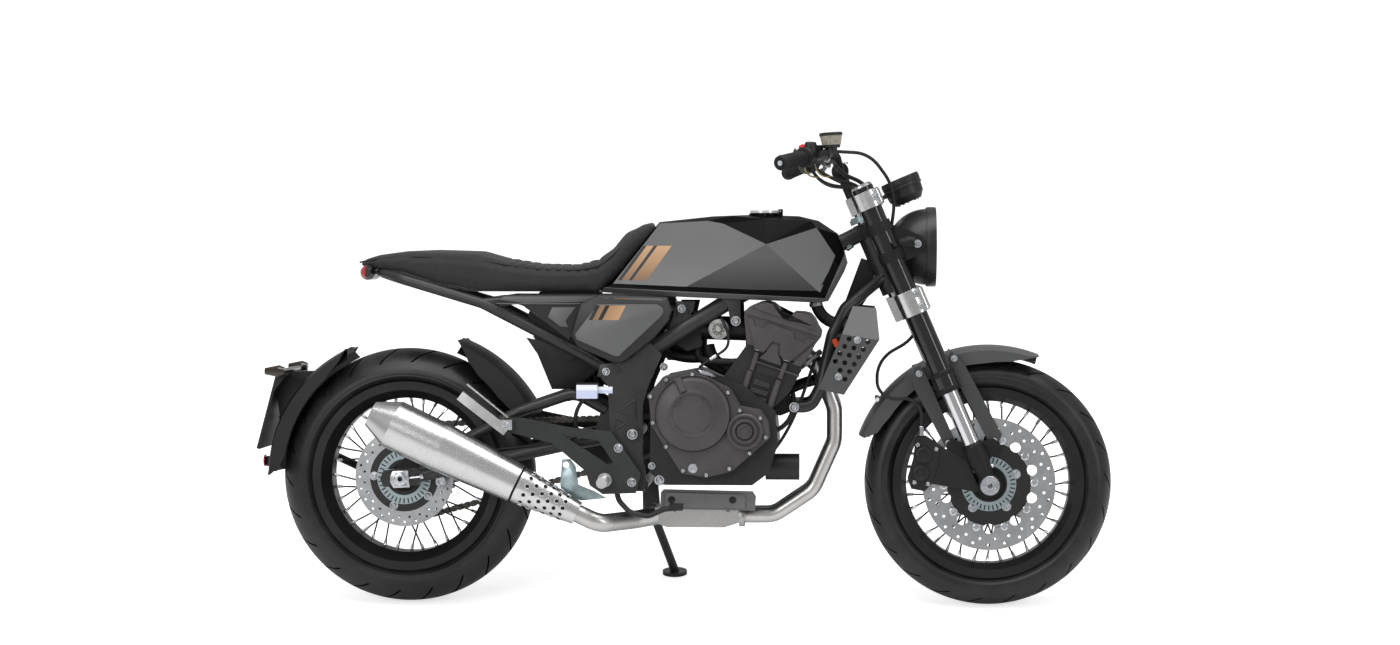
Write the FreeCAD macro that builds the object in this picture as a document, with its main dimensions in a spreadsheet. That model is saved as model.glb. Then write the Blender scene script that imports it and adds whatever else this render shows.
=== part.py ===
import FreeCAD
import Part
import Sketcher
import math
import os
from FreeCAD import Placement, Rotation, Vector

# A middleweight naked motorcycle in cafe racer style, parked on its side stand.
# Every piece is drawn on the upright machine: +X forward, +Y to its left, +Z up,
# with the rear axle over X = 0 and the ground at Z = 0. The whole is then leaned.
SIZES = {
    # Stance
    "lean_angle": 10.0,
    "wheelbase": 1420.0,
    # Tyres, 160/60-17 behind and 120/70-17 in front
    "rear_tyre_radius": 312.0,
    "rear_tyre_width": 160.0,
    "rear_crown_radius": 84.0,
    "front_tyre_radius": 300.0,
    "front_tyre_width": 120.0,
    "front_crown_radius": 70.0,
    # Rims and spokes
    "bead_radius": 218.0,
    "rim_lip_height": 14.0,
    "rim_lip_thickness": 6.0,
    "rim_floor": 6.0,
    "rear_rim_width": 128.0,
    "rear_rim_inner_radius": 190.0,
    "front_rim_width": 96.0,
    "front_rim_inner_radius": 198.0,
    "spoke_diameter": 4.0,
    # Hubs and axles
    "axle_diameter": 20.0,
    "axle_bore_diameter": 12.0,
    "bearing_fit": 0.05,
    "front_flange_radius": 46.0,
    "front_flange_offset": 36.0,
    "rear_flange_radius": 52.0,
    "rear_flange_offset": 44.0,
    "flange_thickness": 8.0,
    "hub_barrel_radius": 27.0,
    "collar_radius": 17.0,
    "running_gap": 0.5,
    # Brakes
    "front_disc_radius": 160.0,
    "front_disc_inner_radius": 108.0,
    "front_disc_place": 72.0,
    "rear_disc_radius": 120.0,
    "rear_disc_inner_radius": 84.0,
    "rear_disc_place": 90.0,
    "disc_thickness": 5.0,
    "disc_clearance": 5.0,
    "tone_ring_radius": 66.0,
    "tone_ring_thickness": 2.0,
    # Final drive, chain pitch 15.875
    "sprocket_pitch_radius": 116.0,
    "engine_sprocket_radius": 41.0,
    "engine_sprocket_x": 640.0,
    "engine_sprocket_z": 411.0,
    "chain_place": 96.0,
    "chain_width": 16.0,
    "chain_height": 15.0,
    "chain_links": 106.0,
    "sprocket_thickness": 6.0,
    "sprocket_clearance": 4.0,
    # Fork and steering
    "rake_angle": 23.3,
    "fork_offset": 28.0,
    "fork_half_spread": 105.0,
    "stanchion_diameter": 41.0,
    "fork_tube_diameter": 54.0,
    "fork_collar_diameter": 60.0,
    "foot_inner_face": 88.0,
    "foot_width": 34.0,
    "foot_boss_radius": 27.0,
    "foot_top": 98.0,
    "fork_tube_start": 250.0,
    "fork_tube_end": 778.0,
    "lower_clamp_start": 447.0,
    "lower_clamp_height": 60.0,
    "top_clamp_start": 724.0,
    "top_clamp_height": 42.0,
    "clamp_wall": 9.0,
    "head_tube_radius": 28.0,
    "stem_radius": 15.0,
    "head_tube_start": 516.0,
    "head_tube_end": 700.0,
    # Handlebar and what it carries
    "handlebar_diameter": 22.0,
    "grip_diameter": 34.0,
    "grip_length": 122.0,
    "handlebar_half_width": 372.0,
    "mirror_hole_diameter": 10.0,
    # Lamps and dial
    "headlight_radius": 95.0,
    "headlight_face_x": 1292.0,
    "headlight_z": 873.0,
    "dial_radius": 47.0,
    "dial_depth": 60.0,
    # Frame
    "main_tube_diameter": 40.0,
    "down_tube_diameter": 28.0,
    "main_tube_place": 100.0,
    "pivot_plate_place": 131.0,
    "pivot_plate_thickness": 18.0,
    "pivot_x": 563.0,
    "pivot_z": 422.0,
    "pivot_bolt_radius": 9.0,
    "subframe_diameter": 26.0,
    "subframe_place": 108.7,
    # Swinging arm
    "arm_diameter": 36.0,
    "arm_place": 130.0,
    "arm_brace_diameter": 27.0,
    "dropout_thickness": 36.0,
    "paddock_hole_diameter": 10.0,
    # Engine
    "crankcase_right_face": 148.0,
    "crankcase_left_face": 84.0,
    "clutch_cover_depth": 34.0,
    "clutch_radius": 86.0,
    "clutch_dome_depth": 16.0,
    "generator_cover_depth": 96.0,
    "cylinder_half_width": 132.0,
    "head_half_width": 142.0,
    # Exhaust
    "header_diameter": 38.0,
    "header_spread": 42.0,
    "link_pipe_diameter": 44.0,
    "muffler_radius": 59.0,
    "muffler_ring_radius": 47.0,
    "muffler_mouth_radius": 28.0,
    "muffler_place": 214.0,
    # Cooling
    "radiator_half_width": 138.0,
    "radiator_thickness": 34.0,
    "guard_thickness": 3.0,
    "guard_hole_radius": 5.9,
    # Bodywork
    "tank_half_width": 140.0,
    "tank_tube_gap": 0.3,
    "seat_half_width": 122.0,
    "side_cover_thickness": 22.0,
    "mudguard_thickness": 3.0,
    "front_mudguard_radius": 318.0,
    "front_mudguard_half_width": 64.0,
    "rear_mudguard_radius": 330.0,
    "rear_mudguard_half_width": 84.0,
    "hugger_radius": 345.0,
    "hugger_half_width": 86.0,
    # Filler cap
    "filler_x": 874.0,
    "filler_radius": 34.0,
    "filler_bore": 25.0,
    "cap_thickness": 8.0,
    "seat_gap": 0.3,
    # Footrests and stand
    "hanger_thickness": 9.0,
    "peg_diameter": 24.0,
    "stand_pivot_x": 590.0,
    "stand_pivot_z": 214.0,
    "stand_foot_x": 640.0,
    "stand_foot_y": 236.0,
    "stand_leg_diameter": 22.0,
    "stand_lug_thickness": 12.0,
}

document = FreeCAD.newDocument("cafe_racer")
sheet = document.addObject("Spreadsheet::Sheet", "Sizes")
for row, (alias, number) in enumerate(SIZES.items(), start=1):
    sheet.set(f"A{row}", alias)
    sheet.set(f"B{row}", str(number))
    sheet.setAlias(f"B{row}", alias)
document.recompute()


class Size(float):
    """A length that remembers the cells of the sheet that it comes from."""

    def __new__(cls, value, formula):
        size = float.__new__(cls, value)
        size.formula = formula
        return size

    def __add__(self, other):
        return joined(self, "+", other, float(self) + float(other))

    def __radd__(self, other):
        return joined(other, "+", self, float(other) + float(self))

    def __sub__(self, other):
        return joined(self, "-", other, float(self) - float(other))

    def __rsub__(self, other):
        return joined(other, "-", self, float(other) - float(self))

    def __mul__(self, other):
        return joined(self, "*", other, float(self) * float(other))

    def __rmul__(self, other):
        return joined(other, "*", self, float(other) * float(self))

    def __truediv__(self, other):
        return joined(self, "/", other, float(self) / float(other))

    def __neg__(self):
        return Size(-float(self), f"(0 - {self.formula})")


def joined(left, sign, right, value):
    """The result of a sum or product, with its formula."""
    words = [part.formula if isinstance(part, Size) else repr(float(part)) for part in (left, right)]
    return Size(value, f"({words[0]} {sign} {words[1]})")


def size(alias):
    """The sheet's cell with this alias."""
    return Size(sheet.get(alias), f"Sizes.{alias}")


def bind(piece, place, value):
    """Give a property its value, tied to the sheet where it comes from there."""
    if isinstance(value, Size):
        piece.setExpression(place, value.formula)
    else:
        setattr(piece, place, float(value))


# The upright machine's fixed points, in side view and in space
RAKE = math.radians(size("rake_angle"))
FORK_UP = Vector(-math.sin(RAKE), 0, math.cos(RAKE))
FORK_FORWARD = Vector(math.cos(RAKE), 0, math.sin(RAKE))
FRONT_AXLE = Vector(size("wheelbase"), 0, size("front_tyre_radius"))
REAR_AXLE = Vector(0, 0, size("rear_tyre_radius"))
STEERING_ROOT = FRONT_AXLE - FORK_FORWARD * size("fork_offset")
SIDES = {"left": 1, "right": -1}
ACROSS = Vector(0, 1, 0)
AHEAD = Vector(1, 0, 0)
UPWARD = Vector(0, 0, 1)


def on_fork(up, forward=0.0, y=0.0):
    """A point of the fork, from the front axle up the legs and forward of them."""
    return FRONT_AXLE + FORK_UP * up + FORK_FORWARD * forward + ACROSS * y


def on_steering(up, forward=0.0, y=0.0):
    """A point beside the steering axis, level with the fork's own heights."""
    return STEERING_ROOT + FORK_UP * up + FORK_FORWARD * forward + ACROSS * y


def polar(radius, degrees):
    """A point of a circle in side view."""
    angle = math.radians(degrees)
    return (radius * math.cos(angle), radius * math.sin(angle))


# Makers of pieces

def sketch_on(body, name, role, loops):
    """A sketch of closed loops: corners (x, y), arcs' ends (x, y, middle) or circles."""
    sketch = body.newObject("Sketcher::SketchObject", name)
    plane = [item for item in body.Origin.OriginFeatures if item.Role == role][0]
    sketch.AttachmentSupport = (plane, [""])
    sketch.MapMode = "FlatFace"
    for loop in loops:
        if loop[0] == "circle":
            draw_circle(sketch, *loop[1:])
        else:
            draw_loop(sketch, loop)
    return sketch


def pin(sketch, edge, vertex, x, y):
    """Hold a sketched point at its distances from the origin."""
    for kind, value in (("DistanceX", x), ("DistanceY", y)):
        if abs(value) < 1e-9:
            axis = -2 if kind == "DistanceX" else -1
            sketch.addConstraint(Sketcher.Constraint("PointOnObject", edge, vertex, axis))
            continue
        number = sketch.addConstraint(Sketcher.Constraint(kind, -1, 1, edge, vertex, float(value)))
        if isinstance(value, Size):
            sketch.setExpression(f"Constraints[{number}]", value.formula)


def draw_circle(sketch, x, y, radius):
    """A circle with its centre and radius held."""
    centre = Vector(x, y, 0)
    edge = sketch.addGeometry(Part.Circle(centre, UPWARD, float(radius)), False)
    pin(sketch, edge, 3, x, y)
    number = sketch.addConstraint(Sketcher.Constraint("Radius", edge, float(radius)))
    if isinstance(radius, Size):
        sketch.setExpression(f"Constraints[{number}]", radius.formula)


def draw_loop(sketch, loop):
    """Lines and arcs from corner to corner, closed, each corner held in place."""
    ends = []
    for index, corner in enumerate(loop):
        start = Vector(loop[index - 1][0], loop[index - 1][1], 0)
        stop = Vector(corner[0], corner[1], 0)
        if len(corner) == 2:
            edge = sketch.addGeometry(Part.LineSegment(start, stop), False)
            ends.append((edge, 1, 2))
            continue
        middle = Vector(corner[2][0], corner[2][1], 0)
        arc = Part.Arc(start, middle, stop).toShape().Curve
        turn = (middle - start).cross(stop - middle).z
        first, last = (start, stop) if turn > 0 else (stop, start)
        angles = [math.atan2(point.y - arc.Center.y, point.x - arc.Center.x) for point in (first, last)]
        circle = Part.Circle(arc.Center, UPWARD, arc.Radius)
        edge = sketch.addGeometry(Part.ArcOfCircle(circle, *angles), False)
        ends.append((edge, 1, 2) if turn > 0 else (edge, 2, 1))
        sketch.addConstraint(Sketcher.Constraint("Radius", edge, arc.Radius))
    for index, (edge, first, last) in enumerate(ends):
        after, after_first, _ = ends[(index + 1) % len(ends)]
        sketch.addConstraint(Sketcher.Constraint("Coincident", edge, last, after, after_first))
        pin(sketch, edge, last, loop[index][0], loop[index][1])


def plate(name, loops, thickness, place, holes=()):
    """A flat piece cut to an outline in side view, as thick as given about its place."""
    body = document.addObject("PartDesign::Body", name)
    sketch = sketch_on(body, name + "_outline", "XZ_Plane", loops)
    pad = body.newObject("PartDesign::Pad", name + "_pad")
    pad.Profile = sketch
    bind(pad, "Length", thickness)
    pad.Midplane = True
    for number, (loop, count) in enumerate(holes):
        cut_round(body, f"{name}_holes_{number}", loop, count)
    body.Placement = Placement(Vector(0, place, 0), Rotation())
    if isinstance(place, Size):
        body.setExpression("Placement.Base.y", place.formula)
    return body


def cut_round(body, name, loop, count):
    """A hole through a flat piece, repeated in a ring about its origin."""
    sketch = sketch_on(body, name + "_outline", "XZ_Plane", [loop])
    pocket = body.newObject("PartDesign::Pocket", name)
    pocket.Profile = sketch
    pocket.Type = "ThroughAll"
    pocket.Midplane = True
    if count > 1:
        ring = body.newObject("PartDesign::PolarPattern", name + "_ring")
        ring.Originals = [pocket]
        ring.Axis = (sketch, ["N_Axis"])
        ring.Angle = 360
        ring.Occurrences = count
        body.Tip = ring


def turned(name, loops, base, along=ACROSS, sweep=360.0):
    """A lathe-turned piece: (distance along its axis, radius) turned about that axis."""
    body = document.addObject("PartDesign::Body", name)
    sketch = sketch_on(body, name + "_profile", "XY_Plane", loops)
    revolution = body.newObject("PartDesign::Revolution", name + "_turn")
    revolution.Profile = sketch
    revolution.ReferenceAxis = (sketch, ["H_Axis"])
    revolution.Angle = sweep
    body.Placement = Placement(base, Rotation(AHEAD, along))
    return body


def rod(name, start, stop, diameter):
    """A round bar from one point to another."""
    bar = document.addObject("Part::Cylinder", name)
    bind(bar, "Radius", diameter / 2.0)
    bar.Height = (stop - start).Length
    bar.Placement = Placement(start, Rotation(UPWARD, stop - start))
    return bar


def block(name, low, high, turn=None, about=None):
    """A rectangular block between two corners, turned in side view if asked."""
    box = document.addObject("Part::Box", name)
    box.Length = high[0] - low[0]
    box.Width = high[1] - low[1]
    box.Height = high[2] - low[2]
    box.Placement = Placement(Vector(*low), Rotation())
    if turn is not None:
        swing = Placement(Vector(), Rotation(ACROSS, turn), about)
        box.Placement = swing.multiply(box.Placement)
    return box


def rounded_path(points, bend):
    """Straight runs joined by tangent arcs, of the radius given or what their runs allow."""
    edges = []
    radii = []
    start = points[0]
    for index in range(1, len(points) - 1):
        corner = points[index]
        back = (points[index - 1] - corner).normalize()
        onward = (points[index + 1] - corner).normalize()
        half = (math.pi - back.getAngle(onward)) / 2
        trim = 0.45 * min((points[index - 1] - corner).Length, (points[index + 1] - corner).Length)
        if bend is not None:
            trim = min(bend * math.tan(half), trim)
        radius = trim / math.tan(half)
        radii.append(radius)
        enter = corner + back * trim
        leave = corner + onward * trim
        inward = (back + onward).normalize()
        middle = corner + inward * (radius / math.cos(half) - radius)
        edges.append(Part.LineSegment(start, enter).toShape())
        edges.append(Part.Arc(enter, middle, leave).toShape())
        start = leave
    edges.append(Part.LineSegment(start, points[-1]).toShape())
    return Part.Wire(edges), radii


def tube(name, points, diameter, bend=60.0):
    """A bent round tube along straight runs and arcs."""
    wire, _ = rounded_path(points, bend)
    return swept(name, wire, points, diameter)


def swept(name, wire, points, diameter):
    """A round section carried along a path that starts with the points' first run."""
    path = document.addObject("Part::Feature", name + "_path")
    path.Shape = wire
    ring = document.addObject("Part::Circle", name + "_ring")
    bind(ring, "Radius", diameter / 2.0)
    ring.Placement = Placement(points[0], Rotation(UPWARD, points[1] - points[0]))
    sweep = document.addObject("Part::Sweep", name)
    sweep.Sections = [ring]
    sweep.Spine = (path, [f"Edge{number + 1}" for number in range(len(wire.Edges))])
    sweep.Solid = True
    return sweep


def hose(name, points, diameter):
    """A hose of straight runs and the widest arcs that fit between them."""
    wire, radii = rounded_path(points, None)
    print(name, "bend radii", " ".join(f"{radius:.1f}" for radius in radii), "length", f"{wire.Length:.0f}")
    return swept(name, wire, points, diameter)


def lofted(name, sections):
    """A closed skin ruled from one outline to the next."""
    piece = document.addObject("Part::Feature", name)
    wires = [Part.makePolygon(list(points) + [points[0]]) for points in sections]
    piece.Shape = Part.makeLoft(wires, True, True)
    return piece


def faceted(name, sections):
    """A closed skin of flat triangles from one outline to the next, for creased panels."""
    triangles = []
    for before, after in zip(sections, sections[1:]):
        for index in range(len(before)):
            follower = (index + 1) % len(before)
            triangles.append((before[index], after[index], after[follower]))
            triangles.append((before[index], after[follower], before[follower]))
    for outline, order in ((sections[0], 1), (sections[-1], -1)):
        middle = Vector()
        for point in outline:
            middle += point / len(outline)
        for index in range(len(outline)):
            edge = (outline[index], outline[(index + 1) % len(outline)])
            triangles.append((middle,) + edge[::order])
    faces = [Part.Face(Part.makePolygon(list(corners) + [corners[0]])) for corners in triangles]
    solid = Part.makeSolid(Part.makeShell(faces))
    if solid.Volume < 0:
        solid.reverse()
    piece = document.addObject("Part::Feature", name)
    piece.Shape = solid
    return piece


def skinned(name, faces):
    """A closed skin sewn from flat faces, each given by its corners in turn."""
    sides = [Part.Face(Part.makePolygon(list(corners) + [corners[0]])) for corners in faces]
    shell = Part.makeShell(sides)
    shell.sewShape()
    solid = Part.makeSolid(shell)
    if solid.Volume < 0:
        solid.reverse()
    piece = document.addObject("Part::Feature", name)
    piece.Shape = solid.removeSplitter()
    return piece


def fused(name, pieces, refine=True):
    """Pieces welded or cast into one."""
    union = document.addObject("Part::MultiFuse", name)
    union.Shapes = pieces
    union.Refine = refine
    return union


def cut(name, base, tools):
    """A piece with others taken out of it."""
    for number, tool in enumerate(tools):
        difference = document.addObject("Part::Cut", f"{name}_{number}")
        difference.Base = base
        difference.Tool = tool
        base = difference
    return base


NODES = []


def node(label, pieces):
    """One named sub-part of the machine, made of the pieces given."""
    whole = document.addObject("Part::Compound", label)
    whole.Links = pieces
    whole.Label = label
    NODES.append(whole)
    return whole


def flat(points):
    """Side-view points as a loop of plain corners."""
    return [(x, z) for x, z in points]


# Tyres, rims, hubs and spokes

def tyre_profile(radius, width, crown, rim_width):
    """The tyre's section from bead to bead, as distance from its middle and radius."""
    outer = rim_width / 2.0
    inner = outer - size("rim_lip_thickness")
    seat = size("bead_radius")
    lip = seat + size("rim_lip_height")
    rise = lip + 5.0
    shoulder = width * 0.47
    drop = crown - math.sqrt(crown ** 2 - shoulder ** 2)
    wall_radius = (radius - drop + rise) / 2.0
    return [
        (-inner, seat), (-inner, lip), (-outer, rise),
        (-shoulder, radius - drop, (-width / 2.0, wall_radius)),
        (shoulder, radius - drop, (0.0, radius)),
        (outer, rise, (width / 2.0, wall_radius)),
        (inner, lip), (inner, seat),
    ]


def rim_profile(width, inner_radius):
    """The rim's section: two lips, two bead seats and a well between them."""
    half = width / 2.0
    lip = size("rim_lip_thickness")
    seat = size("bead_radius")
    top = seat + size("rim_lip_height")
    well = inner_radius + size("rim_floor")
    outer_floor = seat - size("rim_lip_height") / 2.0
    right = [
        (half * 0.3, well), (half * 0.62, seat), (half - lip, seat), (half - lip, top),
        (half, top), (half, outer_floor), (half * 0.45, inner_radius),
    ]
    left = [(-y, radius) for y, radius in reversed(right)]
    return right + left


def spokes(prefix, centre, flange_radius, flange_offset, rim_radius):
    """Thirty-six spokes laced from both hub flanges to the rim, crossing in pairs."""
    bars = []
    reach = rim_radius - size("seat_gap") - 0.6
    root = flange_radius - size("flange_thickness") / 2.0
    middle = flange_offset + size("flange_thickness") / 2.0
    for number in range(36):
        side = 1 if number % 2 else -1
        outside = (number // 2) % 2
        lean = 46.0 if outside else -46.0
        angle = number * 10.0
        start_y = side * (middle + (2.0 if outside else -2.0))
        stop_y = side * (13.0 if outside else 5.0)
        start_x, start_z = polar(root, angle + lean)
        stop_x, stop_z = polar(reach, angle)
        start = centre + Vector(start_x, start_y, start_z)
        stop = centre + Vector(stop_x, stop_y, stop_z)
        bars.append(rod(f"{prefix}_spoke_{number}", start, stop, size("spoke_diameter")))
    return bars


def hub_profile(ends, offset, flange_radius, right_drum, left_drum):
    """The hub's section with its bore, two flanges and a drum for disc or sprocket."""
    bore = size("axle_diameter") / 2.0 + size("bearing_fit")
    barrel = size("hub_barrel_radius")
    outer = offset + size("flange_thickness")
    right_end, left_end = ends
    return [
        (-right_end, bore), (-right_end, right_drum), (-outer, right_drum), (-outer, flange_radius),
        (-offset, flange_radius), (-offset, barrel), (offset, barrel), (offset, flange_radius),
        (outer, flange_radius), (outer, left_drum), (left_end, left_drum), (left_end, bore),
    ]


def axle_profile(half_length, collar_from, collar_to):
    """An axle with a spacing collar on each side of the hub."""
    shaft = size("axle_diameter") / 2.0
    bore = size("axle_bore_diameter") / 2.0
    collar = size("collar_radius")
    right_from, left_from = collar_from
    return [
        (-half_length, bore), (-half_length, shaft), (-collar_to, shaft), (-collar_to, collar),
        (-right_from, collar), (-right_from, shaft), (left_from, shaft), (left_from, collar),
        (collar_to, collar), (collar_to, shaft), (half_length, shaft), (half_length, bore),
    ]


def wheel(prefix, centre, hub):
    """Tyre, rim and laced hub of one wheel."""
    radius = size(f"{prefix}_tyre_radius")
    width = size(f"{prefix}_tyre_width")
    crown = size(f"{prefix}_crown_radius")
    rim_width = size(f"{prefix}_rim_width")
    inner = size(f"{prefix}_rim_inner_radius")
    tyre = turned(f"{prefix}_tyre_body", [tyre_profile(radius, width, crown, rim_width)], centre)
    rim = turned(f"{prefix}_rim_body", [rim_profile(rim_width, inner)], centre)
    barrel = turned(f"{prefix}_hub_body", [hub], centre)
    flange = size(f"{prefix}_flange_radius")
    offset = size(f"{prefix}_flange_offset")
    laced = fused(f"{prefix}_laced_hub", [barrel] + spokes(prefix, centre, flange, offset, inner))
    node(f"{prefix}_tyre", [tyre])
    node(f"{prefix}_rim", [rim])
    node(f"{prefix}_hub", [laced])


disc_face = size("front_disc_place")
rear_disc_face = size("rear_disc_place")
sprocket_face = size("chain_place") - size("sprocket_thickness") / 2.0
front_hub_ends = (disc_face - 6.0, size("front_flange_offset") + size("flange_thickness") + 14.0)
rear_hub_ends = (rear_disc_face, sprocket_face)
wheel("front", FRONT_AXLE, hub_profile(
    front_hub_ends, size("front_flange_offset"), size("front_flange_radius"), 40.0, 30.0))
wheel("rear", REAR_AXLE, hub_profile(
    rear_hub_ends, size("rear_flange_offset"), size("rear_flange_radius"), 44.0, 62.0))

gap = size("running_gap")
front_collar = (front_hub_ends[0] + gap, front_hub_ends[1] + gap)
rear_collar = (rear_hub_ends[0] + size("disc_thickness") + gap, sprocket_face + size("sprocket_thickness") + gap)
foot_face = size("foot_inner_face")
foot_outer = foot_face + size("foot_width")
front_axle = turned("front_axle_body", [axle_profile(foot_outer + 8.0, front_collar, foot_face)], FRONT_AXLE)
dropout_face = size("arm_place") - size("dropout_thickness") / 2.0
dropout_outer = dropout_face + size("dropout_thickness")
rear_axle = turned("rear_axle_body", [axle_profile(dropout_outer + 10.0, rear_collar, dropout_face)], REAR_AXLE)
node("front_axle", [front_axle])
node("rear_axle", [rear_axle])


# Brake discs: a drilled ring on a carrier

def ring_at(name, centre, radii, thickness, place, holes=()):
    """A flat ring about a wheel's centre, with rings of holes."""
    outer, inner = radii
    piece = plate(name, [("circle", 0.0, 0.0, outer), ("circle", 0.0, 0.0, inner)], thickness, place, holes)
    piece.Placement = Placement(centre + Vector(0, place, 0), Rotation())
    piece.setExpression("Placement.Base.y", place.formula if isinstance(place, Size) else None)
    return piece


thickness = size("disc_thickness")
front_bore = size("axle_diameter") / 2.0 + 6.0
front_ring = ring_at(
    "front_disc_ring", FRONT_AXLE, (size("front_disc_radius"), size("front_disc_inner_radius")),
    thickness, -(disc_face + thickness / 2.0),
    [(("circle", 148.0, 0.0, 3.5), 24), (("circle", *polar(134.0, 6.0), 3.5), 24),
     (("circle", *polar(108.0, 18.0), 13.0), 10)])
front_carrier = ring_at(
    "front_disc_carrier", FRONT_AXLE, (size("front_disc_inner_radius") + 6.0, 62.0),
    6.0, -(disc_face - 3.0), [(("circle", *polar(112.0, 18.0), 15.0), 10)])
front_spider = ring_at("front_disc_hub", FRONT_AXLE, (82.0, 40.0), 6.0, -(disc_face - 3.0))
tone = size("tone_ring_thickness")
tone_slot = [(64.0, -1.6), (64.0, 1.6), (52.0, 1.6), (52.0, -1.6)]
front_tone = ring_at("front_tone_ring", FRONT_AXLE, (size("tone_ring_radius"), 44.0), tone,
                     -(disc_face + tone / 2.0), [(tone_slot, 36)])
front_disc_ring = fused("front_disc_all", [front_ring, front_carrier, front_spider, front_tone])
node("front_disc", [front_disc_ring])

rear_ring = ring_at(
    "rear_disc_ring", REAR_AXLE, (size("rear_disc_radius"), size("rear_disc_inner_radius") - 50.0),
    thickness, -(rear_disc_face + thickness / 2.0),
    [(("circle", 110.0, 0.0, 3.0), 24), (("circle", *polar(98.0, 7.5), 3.0), 24)])
rear_tone = ring_at("rear_tone_ring", REAR_AXLE, (size("tone_ring_radius"), 44.0), tone,
                    -(rear_disc_face + thickness + tone / 2.0), [(tone_slot, 36)])
node("rear_disc", [fused("rear_disc_all", [rear_ring, rear_tone])])


# Chain and its sprockets

def belt_loop(big, small, near, far):
    """The outline of a band round two circles: (radius, centre) each in side view."""
    span = math.hypot(far[0] - near[0], far[1] - near[1])
    base = math.degrees(math.atan2(far[1] - near[1], far[0] - near[0]))
    open_angle = math.degrees(math.asin((big - small) / span))
    upper = base + 90.0 - open_angle
    lower = base - 90.0 + open_angle
    points = []
    for centre, radius, angle in ((near, big, upper), (near, big, lower), (far, small, lower), (far, small, upper)):
        x, z = polar(radius, angle)
        points.append((centre[0] + x, centre[1] + z))
    back_x, back_z = polar(big, base + 180.0)
    nose_x, nose_z = polar(small, base)
    back = (near[0] + back_x, near[1] + back_z)
    nose = (far[0] + nose_x, far[1] + nose_z)
    return [points[0], (*points[1], back), points[2], (*points[3], nose)]


rear_sprocket_centre = (0.0, size("rear_tyre_radius"))
engine_sprocket_centre = (size("engine_sprocket_x"), size("engine_sprocket_z"))
half_height = size("chain_height") / 2.0
pitch_radii = (size("sprocket_pitch_radius"), size("engine_sprocket_radius"))
outer_band = belt_loop(pitch_radii[0] + half_height, pitch_radii[1] + half_height,
                       rear_sprocket_centre, engine_sprocket_centre)
inner_band = belt_loop(pitch_radii[0] - half_height, pitch_radii[1] - half_height,
                       rear_sprocket_centre, engine_sprocket_centre)


def band_points(radii, near, far, count):
    """Points evenly spaced along a band round two circles, each with its outward way."""
    big, small = radii
    span = math.hypot(far[0] - near[0], far[1] - near[1])
    base = math.atan2(far[1] - near[1], far[0] - near[0])
    lift = math.asin((big - small) / span)
    run = span * math.cos(lift)
    back = big * (math.pi + 2 * lift)
    nose = small * (math.pi - 2 * lift)
    whole = 2 * run + back + nose
    found = []
    for number in range(count):
        along = whole * number / count
        if along < run:
            way = base + math.pi / 2 - lift
            share = along / run
            point = [near[i] + (far[i] - near[i]) * share for i in (0, 1)]
            radius = big + (small - big) * share
        elif along < run + nose:
            way = base + math.pi / 2 - lift - (along - run) / small
            point, radius = far, small
        elif along < 2 * run + nose:
            way = base - math.pi / 2 + lift
            share = (along - run - nose) / run
            point = [far[i] + (near[i] - far[i]) * share for i in (0, 1)]
            radius = small + (big - small) * share
        else:
            way = base - math.pi / 2 + lift - (along - 2 * run - nose) / big
            point, radius = near, big
        found.append((point[0], point[1], radius, way))
    return found


def link_edge(height, waist):
    """The chain's edge: full over each pin and narrow between pins."""
    corners = []
    for number, (x, z, radius, way) in enumerate(band_points(
            pitch_radii, rear_sprocket_centre, engine_sprocket_centre, round(size("chain_links")) * 4)):
        reach = radius + (waist if number % 4 == 2 else height)
        corners.append(Vector(x + reach * math.cos(way), 0, z + reach * math.sin(way)))
    return Part.Face(Part.makePolygon(corners + [corners[0]]))


chain_side = link_edge(float(half_height), half_height * 0.62).cut(link_edge(-float(half_height), half_height * -0.62))
chain_links = document.addObject("Part::Feature", "chain_links")
chain_links.Shape = chain_side.extrude(Vector(0, size("chain_width"), 0))
chain_links.Placement = Placement(Vector(0, size("chain_place") - size("chain_width") / 2.0, 0), Rotation())
node("drive_chain", [chain_links])

sprocket_tip = size("sprocket_pitch_radius") - half_height - size("sprocket_clearance")
rear_sprocket = ring_at(
    "rear_sprocket_disc", REAR_AXLE, (sprocket_tip, 40.0), size("sprocket_thickness"), size("chain_place"),
    [(("circle", 80.0, 0.0, 11.0), 8), (("circle", sprocket_tip + 1.0, 0.0, 5.5), 40)])
node("rear_sprocket", [rear_sprocket])

# Fork: feet round the axle, stanchions, outer tubes, clamps and stem

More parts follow.
